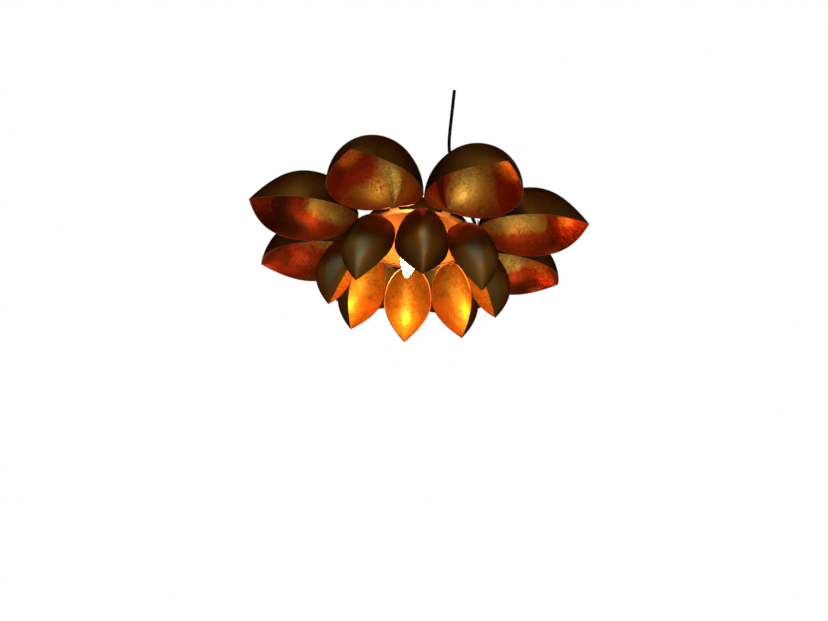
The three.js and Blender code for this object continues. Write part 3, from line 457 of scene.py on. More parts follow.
@dataclass(frozen=True)
class GoldLeaf:
    """Gold leaf laid over red bole, on the inside of the petals.

    The mesh's attribute of patch kinds says where the leaf is bright, where it is worn to the red bole and
    where the bole glows orange: that glow is the bulb's warm light painted onto the bole, and the bright
    leaf is partly a painted reflection of the front light. Noise breaks up the edges of all three. Where it
    says worn twice over, the bole is darker, and where it says bright twice over, the leaf takes a painted
    sheen. Towards the tip and the rims the red bole shows too, partly as worn leaf and partly as the bulb's
    warm light and the leaf's interreflection painted in.
    """

    name: str = "gold_leaf"
    # painted highlight: the brightest leaf colour is a painted sheen
    painted_sheen: Colour = (1.0, 0.68, 0.120)
    bright: Colour = (0.56, 0.31, 0.052)
    dull: Colour = (0.44, 0.170, 0.015)
    bole: Colour = (0.36, 0.027, 0.002)
    # painted light: the bulb's warm light painted onto the bole as an orange glow
    glow: Colour = (1.0, 0.27, 0.026)
    darker_bole: Colour = (0.085, 0.010, 0.001)
    dark: Colour = (0.030, 0.010, 0.002)
    tip_from: float = 0.55
    tip_to: float = 1.05
    rim_span: Span = (0.60, 0.10)
    rim_share: float = 0.7
    drift: float = 0.5
    sweeps: Triple = (11.0, 26.0, 7.0)
    billows: Triple = (34.0, 34.0, 13.0)
    brushing: Triple = (150.0, 520.0, 17.0)
    breakup: Triple = (0.30, 0.35, 0.35)
    shining: Mask = Mask(0.15, 1.15, ragged=3.0)
    painted_sheen_mask: Mask = Mask(1.3, 2.6, ragged=2.0)
    worn_through: Mask = Mask(0.15, 0.75, ragged=1.3)
    darker_bole_mask: Mask = Mask(1.2, 2.1, ragged=0.8)
    painted_glow_mask: Mask = Mask(0.25, 1.35, ragged=3.0)
    stain_span: Span = (0.40, 0.70)
    stain_shares: Span = (0.35, 0.08)
    crack_span: Span = (0.40, 0.56)
    crack_share: float = 0.55
    speck_span: Span = (0.60, 0.70)
    speckless_span: Span = (0.58, 0.40)
    speck_share: float = 0.6

    def material(self) -> bpy.types.Material:
        """Builds the material.

        Returns:
            The material.
        """
        made, tree = new_material(self.name)
        along, ridge = tree.attribute("along"), tree.attribute("ridge")
        gilt_and_highlight, worn, glow = (tree.wear_and_light(kind) for kind in WearAndLight)
        sweep = tree.noise(scale=1.0, roughness=0.6, distortion=0.6, point=tree.skin(self.sweeps))
        clouds = tree.noise(scale=1.0, detail=5.0, roughness=0.65, distortion=0.5,
                            point=tree.skin(self.billows))
        strokes = tree.noise(scale=1.0, roughness=0.7, distortion=0.3, point=tree.skin(self.brushing))
        mottle = tree.noise(scale=150.0, detail=6.0, roughness=0.7, distortion=0.6)
        coarse, middling, fine = self.breakup
        breakup = sweep * coarse + clouds * middling + strokes * fine - 0.5
        leaf = tree.mix(self.shining.over(gilt_and_highlight, breakup), self.dull, self.bright)
        # painted reflection: where the bright patches are strongest the leaf takes a painted sheen
        leaf = tree.mix(self.painted_sheen_mask.over(gilt_and_highlight, breakup), leaf, self.painted_sheen)
        # partly painted light: towards the tip and the rims the red bole stands for worn leaf and also for
        # the bulb's warm light and the leaf's interreflection there
        to_tip = (along + sweep * self.drift - self.drift / 2).step(self.tip_from, self.tip_to)
        to_rim = (ridge + clouds * self.drift - self.drift / 2).step(*self.rim_span) * self.rim_share
        rubbed_and_painted_light = self.worn_through.over(worn, breakup) | to_tip | to_rim
        # darker bole where the worn patches are strongest, as at some tips
        red = tree.mix(self.darker_bole_mask.over(worn, breakup), self.bole, self.darker_bole)
        # painted light: where the glow patches say, the bole takes the bulb's light as a painted orange glow
        red = tree.mix(self.painted_glow_mask.over(glow, breakup), red, self.glow)
        colour = tree.mix(rubbed_and_painted_light, leaf, red)
        on_leaf, on_bole = self.stain_shares
        stained = mottle.step(*self.stain_span) * (on_leaf - rubbed_and_painted_light * (on_leaf - on_bole))
        colour = tree.mix(stained, colour, self.dull)
        cracks = tree.lines(scale=70.0, width=0.0016) | tree.lines(scale=160.0, width=0.0030) * 0.7
        specks = mottle.step(*self.speck_span) * sweep.step(*self.speckless_span) * self.speck_share
        scratched = cracks * clouds.step(*self.crack_span) * self.crack_share | specks
        colour = tree.mix(scratched, colour, self.dark)
        relief = clouds * 0.45 + strokes * 0.3 + mottle * 0.25
        tree.surface(
            Base_Color=colour,
            Metallic=0.9,
            Roughness=0.40 + clouds * 0.2 + scratched * 0.2,
            Specular_Tint=(1.0, 0.75, 0.45, 1.0),
            Normal=tree.bump(relief, distance=0.0009, strength=0.8),
        )
        return made


@dataclass(frozen=True)
class SpunLeaf:
    """Even gold leaf on the inside of the dish, on the carrier ring and on the rivets."""

    name: str = "gold_leaf_dish"
    bright: Colour = (0.22, 0.105, 0.0120)
    dull: Colour = (0.17, 0.065, 0.0060)
    dark: Colour = (0.08, 0.024, 0.0020)
    bright_span: Span = (0.38, 0.60)
    worn_span: Span = (0.60, 0.70)
    worn_share: float = 0.5

    def material(self) -> bpy.types.Material:
        """Builds the material.

        Returns:
            The material.
        """
        made, tree = new_material(self.name)
        clouds = tree.noise(scale=28.0, detail=5.0, roughness=0.6, distortion=0.4)
        grain = tree.noise(scale=210.0, roughness=0.65)
        colour = tree.mix(clouds.step(*self.bright_span), self.dull, self.bright)
        worn = grain.step(*self.worn_span) * self.worn_share
        tree.surface(
            Base_Color=tree.mix(worn, colour, self.dark),
            Metallic=0.4,
            Roughness=0.50 + clouds * 0.15,
            Normal=tree.bump(clouds * 0.5 + grain * 0.5, distance=0.0004, strength=0.6),
        )
        return made


@dataclass(frozen=True)
class BareEdge:
    """Copper-coloured metal where the rims are worn bare."""

    name: str = "bare_edge"
    bright: Colour = (0.22, 0.095, 0.055)
    dull: Colour = (0.10, 0.035, 0.015)
    rubbed_and_painted_light_span: Span = (0.35, 0.60)

    def material(self) -> bpy.types.Material:
        """Builds the material.

        Returns:
            The material.
        """
        made, tree = new_material(self.name)
        rubbed_and_painted_light = tree.noise(scale=60.0, roughness=0.6).step(*self.rubbed_and_painted_light_span)
        tree.surface(
            Base_Color=tree.mix(rubbed_and_painted_light, self.dull, self.bright),
            Metallic=0.9,
            Roughness=0.30 + rubbed_and_painted_light * 0.15,
        )
        return made


@dataclass(frozen=True)
class PlainMetal:
    """Plated or turned metal with fine marks."""

    name: str
    light: Colour
    dark: Colour
    roughness: float = 0.3
    relief: float = 0.00008
    turning: Triple = (0.15, 0.15, 1.0)
    tarnish_span: Span = (0.35, 0.70)

    def material(self) -> bpy.types.Material:
        """Builds the material.

        Returns:
            The material.
        """
        made, tree = new_material(self.name)
        tarnish = tree.noise(scale=120.0, detail=5.0, roughness=0.6)
        turned = tree.noise(scale=900.0, detail=2.0, roughness=0.5, point=tree.place(self.turning))
        tree.surface(
            Base_Color=tree.mix(tarnish.step(*self.tarnish_span), self.light, self.dark),
            Metallic=1.0,
            Roughness=self.roughness + tarnish * 0.18,
            Normal=tree.bump(turned, self.relief, strength=0.6),
        )
        return made


@dataclass(frozen=True)
class PlainSkin:
    """Moulded plastic, glazed porcelain, insulation or cord sheath."""

    name: str
    colour: Colour
    worn: Colour
    roughness: float = 0.45
    grain: float = 700.0
    relief: float = 0.00008
    shine: float = 0.5
    dust_span: Span = (0.40, 0.75)

    def material(self) -> bpy.types.Material:
        """Builds the material.

        Returns:
            The material.
        """
        made, tree = new_material(self.name)
        dust = tree.noise(scale=90.0, roughness=0.6)
        grain = tree.noise(self.grain, detail=2.0, roughness=0.5)
        tree.surface(
            Base_Color=tree.mix(dust.step(*self.dust_span), self.colour, self.worn),
            Roughness=self.roughness + dust * 0.15,
            Specular_IOR_Level=self.shine,
            Normal=tree.bump(grain, self.relief, strength=0.6),
        )
        return made


@dataclass(frozen=True)
class LitGlass:
    """Opal glass of the burning bulb."""

    name: str = "lit_glass"
    milky: Colour = (0.92, 0.88, 0.80)
    clear: Colour = (1.0, 0.97, 0.92)
    glow: Colour = (1.0, 0.40, 0.10)
    bright_glow: Colour = (1.0, 0.50, 0.20)
    strength: float = 200.0

    def material(self) -> bpy.types.Material:
        """Builds the material.

        Returns:
            The material.
        """
        made, tree = new_material(self.name)
        haze = tree.noise(scale=30.0, detail=3.0, roughness=0.5)
        tree.surface(
            Base_Color=tree.mix(haze, self.milky, self.clear),
            Roughness=0.18,
            Emission_Color=tree.mix(haze * 0.2, self.glow, self.bright_glow),
            Emission_Strength=self.strength,
        )
        return made


class Finishes:
    """Every material of the lamp, each made once."""

    def __init__(self) -> None:
        """Builds the materials."""
        self.bronze = AgedBronze().material()
        self.large_bronze = AgedBronze(
            name="aged_bronze_large", red=(0.080, 0.0180, 0.0015), brown=(0.034, 0.0095, 0.0009),
            olive=(0.044, 0.0180, 0.0030), red_to=0.12, sage_share=0.0, coat=0.0, roughness=0.45,
        ).material()
        self.leaf = GoldLeaf().material()
        self.small_leaf = GoldLeaf(
            name="gold_leaf_small", bright=(0.62, 0.42, 0.060), dull=(0.34, 0.170, 0.012),
            bole=(0.44, 0.150, 0.008), tip_from=1.6, tip_to=2.0,
        ).material()
        self.dish_leaf = SpunLeaf().material()
        self.edge = BareEdge().material()
        self.copper = PlainMetal("bare_copper", (0.80, 0.36, 0.20), (0.55, 0.22, 0.11)).material()
        self.zinc = PlainMetal(
            "zinc_plate", light=(0.66, 0.67, 0.68), dark=(0.45, 0.46, 0.46), roughness=0.26,
        ).material()
        self.brass = PlainMetal(
            "turned_brass", light=(0.74, 0.55, 0.24), dark=(0.50, 0.34, 0.12), roughness=0.22,
        ).material()
        self.plastic = PlainSkin("black_moulding", (0.016, 0.016, 0.017), (0.035, 0.034, 0.033)).material()
        self.porcelain = PlainSkin(
            "porcelain", colour=(0.86, 0.83, 0.77), worn=(0.74, 0.70, 0.62), roughness=0.16,
        ).material()
        self.sheath = PlainSkin(
            "cord_sheath", colour=(0.0025, 0.0025, 0.0025), worn=(0.006, 0.006, 0.006), roughness=0.75,
            shine=0.03,
        ).material()
        self.glass = LitGlass().material()
        self.brown_lead = PlainSkin("brown_insulation", (0.17, 0.07, 0.025), (0.13, 0.06, 0.03)).material()
        self.blue_lead = PlainSkin("blue_insulation", (0.03, 0.14, 0.50), (0.03, 0.11, 0.36)).material()
        self.green_lead = PlainSkin("green_insulation", (0.18, 0.42, 0.04), (0.15, 0.34, 0.05)).material()


# Mesh helpers


def add_piece(name: str, mesh: bpy.types.Mesh, materials: Sequence[bpy.types.Material], body: Body,
              replaced: Sequence[str] = (), sharp_deg: float = 38.0) -> bpy.types.Object:
    """Puts a mesh into the scene as a piece of the lamp.

    Args:
        name: The piece's name.
        mesh: Its mesh, in the lamp's frame.
        materials: Its materials, in the order of the mesh's material numbers.
        body: The body that it rides on.
        replaced: The CAD nodes that it stands for.
        sharp_deg: Edges sharper than this stay sharp.

    Returns:
        The new object.
    """
    for material in materials:
        mesh.materials.append(material)
    mesh.shade_smooth()
    mesh.set_sharp_from_angle(angle=math.radians(sharp_deg))
    piece = bpy.data.objects.new(name, mesh)
    bpy.context.scene.collection.objects.link(piece)
    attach(piece, body.value)
    if replaced:
        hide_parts(*replaced)
    LOG.info("%s rides on %s", name, body.value)
    return piece


def mesh_from(name: str, points: Sequence[Vector], faces: Sequence[Sequence[int]],
              place: Matrix | None = None) -> bpy.types.Mesh:
    """A mesh from points and faces, with its faces turned outwards.

    Args:
        name: The mesh's name.
        points: Its points.
        faces: Its faces, as numbers of points.
        place: Where the mesh goes in the lamp's frame.

    Returns:
        The mesh.
    """
    mesh = bpy.data.meshes.new(name)
    mesh.from_pydata([tuple(p) for p in points], [], [tuple(f) for f in faces])
    work = bmesh.new()
    work.from_mesh(mesh)
    bmesh.ops.remove_doubles(work, verts=work.verts, dist=MERGE_DISTANCE)
    bmesh.ops.recalc_face_normals(work, faces=work.faces)
    if place:
        work.transform(place)
    work.to_mesh(mesh)
    work.free()
    return mesh


def mark_points(mesh: bpy.types.Mesh, name: str, marks: Sequence[float]) -> None:
    """Stores a number, or a vector's three numbers, at every point of a mesh.

    Args:
        mesh: The mesh.
        name: The attribute's name.
        marks: The numbers, in the order of the points.
    """
    kind, entry = ("FLOAT", "value") if len(marks) == len(mesh.vertices) else ("FLOAT_VECTOR", "vector")
    mesh.attributes.new(name, kind, "POINT").data.foreach_set(entry, marks)


def revolved(name: str, outline: Outline | Callable[[float], Outline], segments: int,
             place: Matrix | None = None) -> bpy.types.Mesh:
    """An outline turned about Z.

    Args:
        name: The mesh's name.
        outline: Radius and level of each corner, from the axis to the axis or closed on itself, or a function
            that gives them for an angle round the axis.
        segments: Faces round the axis.
        place: Where the mesh goes.

    Returns:
        The mesh.
    """
    points = []
    for k in range(segments):
        turn = 2 * math.pi * k / segments
        corners = outline(turn) if callable(outline) else outline
        points += [Vector((r * math.cos(turn), r * math.sin(turn), level)) for r, level in corners]
    rows = len(corners)
    closed = corners[0][0] > 0
    faces = []
    for k in range(segments):
        here, following = k * rows, ((k + 1) % segments) * rows
        for i in range(rows if closed else rows - 1):
            j = (i + 1) % rows
            faces.append((here + i, following + i, following + j, here + j))
    return mesh_from(name, points, faces, place)


def rounded(outline: Outline, radius: float, steps: int = 3) -> list[tuple[float, float]]:
    """Rounds each corner of an outline that isn't on the axis.

    Args:
        outline: The outline's corners.
        radius: How far from each corner the rounding starts, at most.
        steps: Points to a corner, less one.

    Returns:
        The rounded outline.
    """
    made = []
    count = len(outline)
    closed = outline[0][0] > 0
    most_of_side = 0.45
    for i, (r, z) in enumerate(outline):
        if not closed and i in (0, count - 1):
            made.append((r, z))
            continue
        here = Vector((r, z))
        before, after = Vector(outline[i - 1]), Vector(outline[(i + 1) % count])
        start = here + (before - here).normalized() * min(radius, (before - here).length * most_of_side)
        end = here + (after - here).normalized() * min(radius, (after - here).length * most_of_side)
        for k in range(steps + 1):
            t = k / steps
            point = start * (1 - t) ** 2 + here * 2 * t * (1 - t) + end * t ** 2
            made.append((point.x, point.y))
    return made


def swept(name: str, path: Sequence[Vector], radius: float, sides: int) -> bpy.types.Mesh:
    """A round tube with closed ends along a path.

    Args:
        name: The mesh's name.
        path: Points close enough together for a smooth tube.
        radius: The tube's radius.
        sides: Faces round it.

    Returns:
        The mesh.
    """
    last = len(path) - 1
    tangents = [(path[min(i + 1, last)] - path[max(i - 1, 0)]).normalized() for i in range(len(path))]
    across = tangents[0].orthogonal().normalized()
    points = []
    for point, tangent in zip(path, tangents):
        across = (across - tangent * across.dot(tangent)).normalized()
        beside = tangent.cross(across)
        for k in range(sides):
            turn = 2 * math.pi * k / sides
            points.append(point + (across * math.cos(turn) + beside * math.sin(turn)) * radius)
    faces = []
    for i in range(last):
        for k in range(sides):
            m = (k + 1) % sides
            faces.append((i * sides + k, i * sides + m, (i + 1) * sides + m, (i + 1) * sides + k))
    faces.append(tuple(range(sides)))
    faces.append(tuple(range(last * sides, len(path) * sides)))
    return mesh_from(name, points, faces)


def smooth_path(points: Sequence[Vector], steps: int) -> list[Vector]:
    """A smooth curve through points.

    Args:
        points: The points that it passes.
        steps: Steps between two of them.

    Returns:
        Points along the curve.
    """
    ends = [points[0] * 2 - points[1], *points, points[-1] * 2 - points[-2]]
    made = []
    for i in range(1, len(ends) - 2):
        a, b, c, d = ends[i - 1:i + 3]
        for k in range(steps):
            t = k / steps
            made.append(0.5 * (2 * b + (c - a) * t + (2 * a - 5 * b + 4 * c - d) * t ** 2
                               + (3 * b - a - 3 * c + d) * t ** 3))
    made.append(points[-1].copy())
    return made


def hexagon(flats: float, bore: float, low: float, high: float,
            flange: float = 0.0) -> Callable[[float], Outline]:
    """Outline of a hexagon nut with chamfered corners, for any angle round its axis.

    Args:
        flats: Distance from the axis to a flat.
        bore: Radius of its hole.
        low: Its underside.
        high: Its top.
        flange: Radius of a round flange under it, if it has one.

    Returns:
        A function that gives the outline at an angle.
    """
    lead_in, flange_height, flat_share = 0.0004, 0.002, 0.975
    edge = flats * flat_share
    half_side = math.pi / 6

    def outline(turn: float) -> list[tuple[float, float]]:
        """The outline at one angle.

        Args:
            turn: The angle round the axis.

        Returns:
            Radius and level of each corner.
        """
        beside = (turn + half_side) % (2 * half_side) - half_side
        reach = flats / math.cos(beside)
        drop = (reach - edge) * math.tan(half_side)
        foot = [(edge, low), (reach, low + drop)]
        if flange:
            foot = [(flange - lead_in, low), (flange, low + lead_in), (flange, low + flange_height / 2),
                    (flange - lead_in * 2, low + flange_height), (reach, low + flange_height)]
        return [(bore, low + lead_in), (bore + lead_in, low), *foot, (reach, high - drop), (edge, high),
                (bore + lead_in, high), (bore, high - lead_in)]

    return outline


def thread(crest: float, low: float, high: float, pitch: float,
           depth: float) -> Callable[[float], Outline]:
    """Rows of a screw thread, for any angle round its axis, fading out at both ends.

    Args:
        crest: Radius of the thread's crest, or of its root where the depth is negative.
        low: Where it starts.
        high: Where it ends.
        pitch: Rise in one turn.
        depth: How far its other face lies below the crest.

    Returns:
        A function that gives the rows at an angle, from low to high.
    """
    rows = max(THREAD_ROWS_PER_TURN, round((high - low) / pitch * THREAD_ROWS_PER_TURN))
    fading = rows / 3 if rows < SHORT_THREAD_ROWS else THREAD_ROWS_PER_TURN

    def outline(turn: float) -> list[tuple[float, float]]:
        """The rows at one angle.

        Args:
            turn: The angle round the axis.

        Returns:
            Radius and level of each row.
        """
        made = []
        for i in range(rows + 1):
            level = low + (high - low) * i / rows
            fade = min(1.0, i / fading, (rows - i) / fading)
            wave = 0.5 - 0.5 * math.cos(2 * math.pi * (level - low) / pitch - turn)
            made.append((crest - depth * wave * fade, level))
        return made

    return outline


def tube(rows: Callable[[float], Outline], other_radius: float, low: float,
         high: float) -> Callable[[float], Outline]:
    """Outline of a tube whose one face is a thread and whose other face is plain.

    Args:
        rows: The thread's rows.
        other_radius: Radius of the plain face.
        low: Where the tube starts.
        high: Where it ends.

    Returns:
        A function that gives the outline at an angle.
    """
    return lambda turn: [*rows(turn), (other_radius, high), (other_radius, low)]


def dress_node(node: str, material: bpy.types.Material, bevel: float = 0.0,
               smooth: int = 0) -> None:
    """Gives a CAD node that stays its finish.

    Args:
        node: The node's name.
        material: The finish.
        bevel: Width of the bevel on its edges.
        smooth: Levels of subdivision.
    """
    shown = frame["nodes"][node]
    shown.data.materials.clear()
    shown.data.materials.append(material)
    if bevel:
        edges = shown.modifiers.new("rounded_edges", "BEVEL")
        edges.width = bevel
        edges.segments = BEVEL_SEGMENTS
        edges.limit_method = "ANGLE"
        edges.angle_limit = math.radians(BEVEL_FROM_DEG)
    if smooth:
        skin = shown.modifiers.new("smooth_skin", "SUBSURF")
        skin.levels = skin.render_levels = smooth
    LOG.info("%s dressed", node)


def span_along(node: str, axis: Vector) -> tuple[float, float]:
    """How far a CAD node reaches along an axis through the origin.

    Args:
        node: The node's name.
        axis: The axis, of length 1.

    Returns:
        Its lowest and highest place on the axis.
    """
    places = [vertex.co.dot(axis) for vertex in frame["nodes"][node].data.vertices]
    return min(places), max(places)


# Petals


@dataclass(frozen=True)
class Patch:
    """One place on a petal where the leaf shines, is worn or carries a painted glow of bulb light, or where
    the bronze carries a painted highlight.

    A strength below nothing takes away from what the patches round it give.
    """

    kind: WearAndLight
    along: float
    girth_deg: float
    reach: float
    spread_deg: float
    strength: float = 1.0

    def at(self, share: float, girth: float) -> float:
        """How strongly the patch shows at a place.

        Args:
            share: How far along the petal the place is.
            girth: Its angle from one rim over the back to the other, in radians.

        Returns:
            The strength there.
        """
        off = (share - self.along) / self.reach
        beside = (math.degrees(girth) - self.girth_deg) / self.spread_deg
        return self.strength * math.exp(-off * off - beside * beside)


def patches(kind: WearAndLight, *places: tuple[float, float, float, float, float]) -> tuple[Patch, ...]:
    """Patches of one kind.

    Args:
        kind: The kind.
        *places: For each patch its place along and round the petal, how far it reaches both ways, and its
            strength.

    Returns:
        The patches.
    """
    return tuple(Patch(kind, *place) for place in places)


SMALL_LEAF_PATCHES = (*patches(WearAndLight.GILT, (0.78, 90, 0.24, 60, 1.4)),
                      *patches(WearAndLight.WORN, (0.10, 90, 0.20, 50, 0.5)))
# Painted highlight: each small petal's sage streak sits where the front light's highlight falls on it.
PAINTED_HIGHLIGHT_STREAKS: dict[int, tuple[Patch, ...]] = {
    1: patches(WearAndLight.GILT, (0.72, 93, 0.17, 15, 0.95)),
    2: patches(WearAndLight.GILT, (0.63, 140, 0.17, 15, 1.15)),
    3: patches(WearAndLight.GILT, (0.72, 162, 0.17, 12, 0.6)),
    4: patches(WearAndLight.GILT, (0.74, 120, 0.17, 15, 0.9)),
    5: patches(WearAndLight.GILT, (0.74, 90, 0.17, 15, 0.9)),
    6: patches(WearAndLight.GILT, (0.74, 60, 0.17, 15, 0.9)),
    7: patches(WearAndLight.GILT, (0.62, 26, 0.19, 13, 1.6)),
    8: patches(WearAndLight.GILT, (0.74, 48, 0.18, 15, 1.2)),
}
# The bright-leaf patches of the outer petals are partly a painted reflection: they lay the front light's fan
# of highlights on the leaf, and those below nothing dim the leaf beside it. The glow patches are the bulb's
# light painted onto the bole.
LEAF_PATCHES: dict[int, tuple[Patch, ...]] = {
    1: (
        *patches(WearAndLight.GILT, (0.10, 62, 0.16, 26, 1.0), (0.22, 74, 0.07, 14, 0.7),
                 (0.10, 112, 0.25, 15, -2.2), (0.54, 50, 0.07, 12, 2.6)),
        *patches(WearAndLight.WORN, (0.48, 18, 0.18, 34, 1.7), (0.25, 150, 0.30, 34, 0.6),
                 (0.07, 124, 0.14, 15, 2.6)),
        *patches(WearAndLight.GLOW, (0.55, 48, 0.11, 16, 2.0), (0.62, 34, 0.06, 10, 1.2)),
    ),
    2: (
        *patches(WearAndLight.GILT, (0.20, 52, 0.13, 14, 1.2), (0.40, 46, 0.09, 12, 0.9)),
        *patches(WearAndLight.WORN, (0.45, 12, 0.45, 18, 1.4), (0.62, 45, 0.05, 30, 1.2),
                 (0.88, 40, 0.15, 60, 1.2)),
        *patches(WearAndLight.GLOW, (0.78, 45, 0.06, 13, 1.1), (0.62, 2, 0.10, 7, 0.7)),
    ),
    3: (
        *patches(WearAndLight.GILT, (0.60, 50, 0.15, 14, 1.3), (0.86, 70, 0.06, 25, 0.7)),
        *patches(WearAndLight.WORN, (0.70, 10, 0.25, 20, 1.8), (0.84, 36, 0.14, 24, 1.5)),
        *patches(WearAndLight.GLOW, (0.86, 6, 0.07, 12, 0.8)),
    ),
    4: (
        *patches(WearAndLight.GILT, (0.15, 95, 0.20, 40, 1.1), (0.54, 60, 0.14, 22, 1.5)),
        *patches(WearAndLight.WORN, (0.75, 130, 0.2, 40, 1.2), (0.85, 30, 0.18, 30, 1.0)),
    ),
    5: (
        *patches(WearAndLight.GILT, (0.18, 85, 0.20, 36, 1.1), (0.50, 132, 0.14, 22, 1.5)),
        *patches(WearAndLight.WORN, (0.80, 60, 0.2, 40, 1.2), (0.85, 155, 0.15, 30, 1.0)),
    ),
    6: (
        *patches(WearAndLight.GILT, (0.74, 126, 0.05, 11, 1.8), (0.52, 130, 0.10, 12, 1.4),
                 (0.88, 152, 0.035, 9, 1.5)),
        *patches(WearAndLight.WORN, (0.55, 134, 0.16, 22, 0.6), (0.62, 162, 0.30, 20, 0.7),
                 (0.90, 122, 0.16, 45, 3.0)),
    ),
    7: (
        *patches(WearAndLight.GILT, (0.36, 128, 0.12, 11, 0.9), (0.12, 150, 0.09, 22, 0.9)),
        *patches(WearAndLight.WORN, (0.50, 132, 0.10, 18, 0.5), (0.42, 166, 0.33, 18, 1.7),
                 (0.82, 125, 0.28, 60, 3.2)),
        *patches(WearAndLight.GLOW, (0.42, 140, 0.14, 16, -0.7)),
    ),
    8: (
        *patches(WearAndLight.GILT, (0.06, 76, 0.10, 11, 4.2), (0.18, 92, 0.08, 15, 1.7), (0.13, 28, 0.12, 14, 0.6),
                 (0.08, 48, 0.16, 9, -1.4), (0.13, 128, 0.13, 17, -2.6)),
        *patches(WearAndLight.WORN, (0.24, 126, 0.12, 24, 0.8), (0.46, 152, 0.18, 46, 1.8)),
        *patches(WearAndLight.GLOW, (0.52, 128, 0.14, 17, 1.8), (0.30, 168, 0.12, 18, 0.6)),
    ),
}


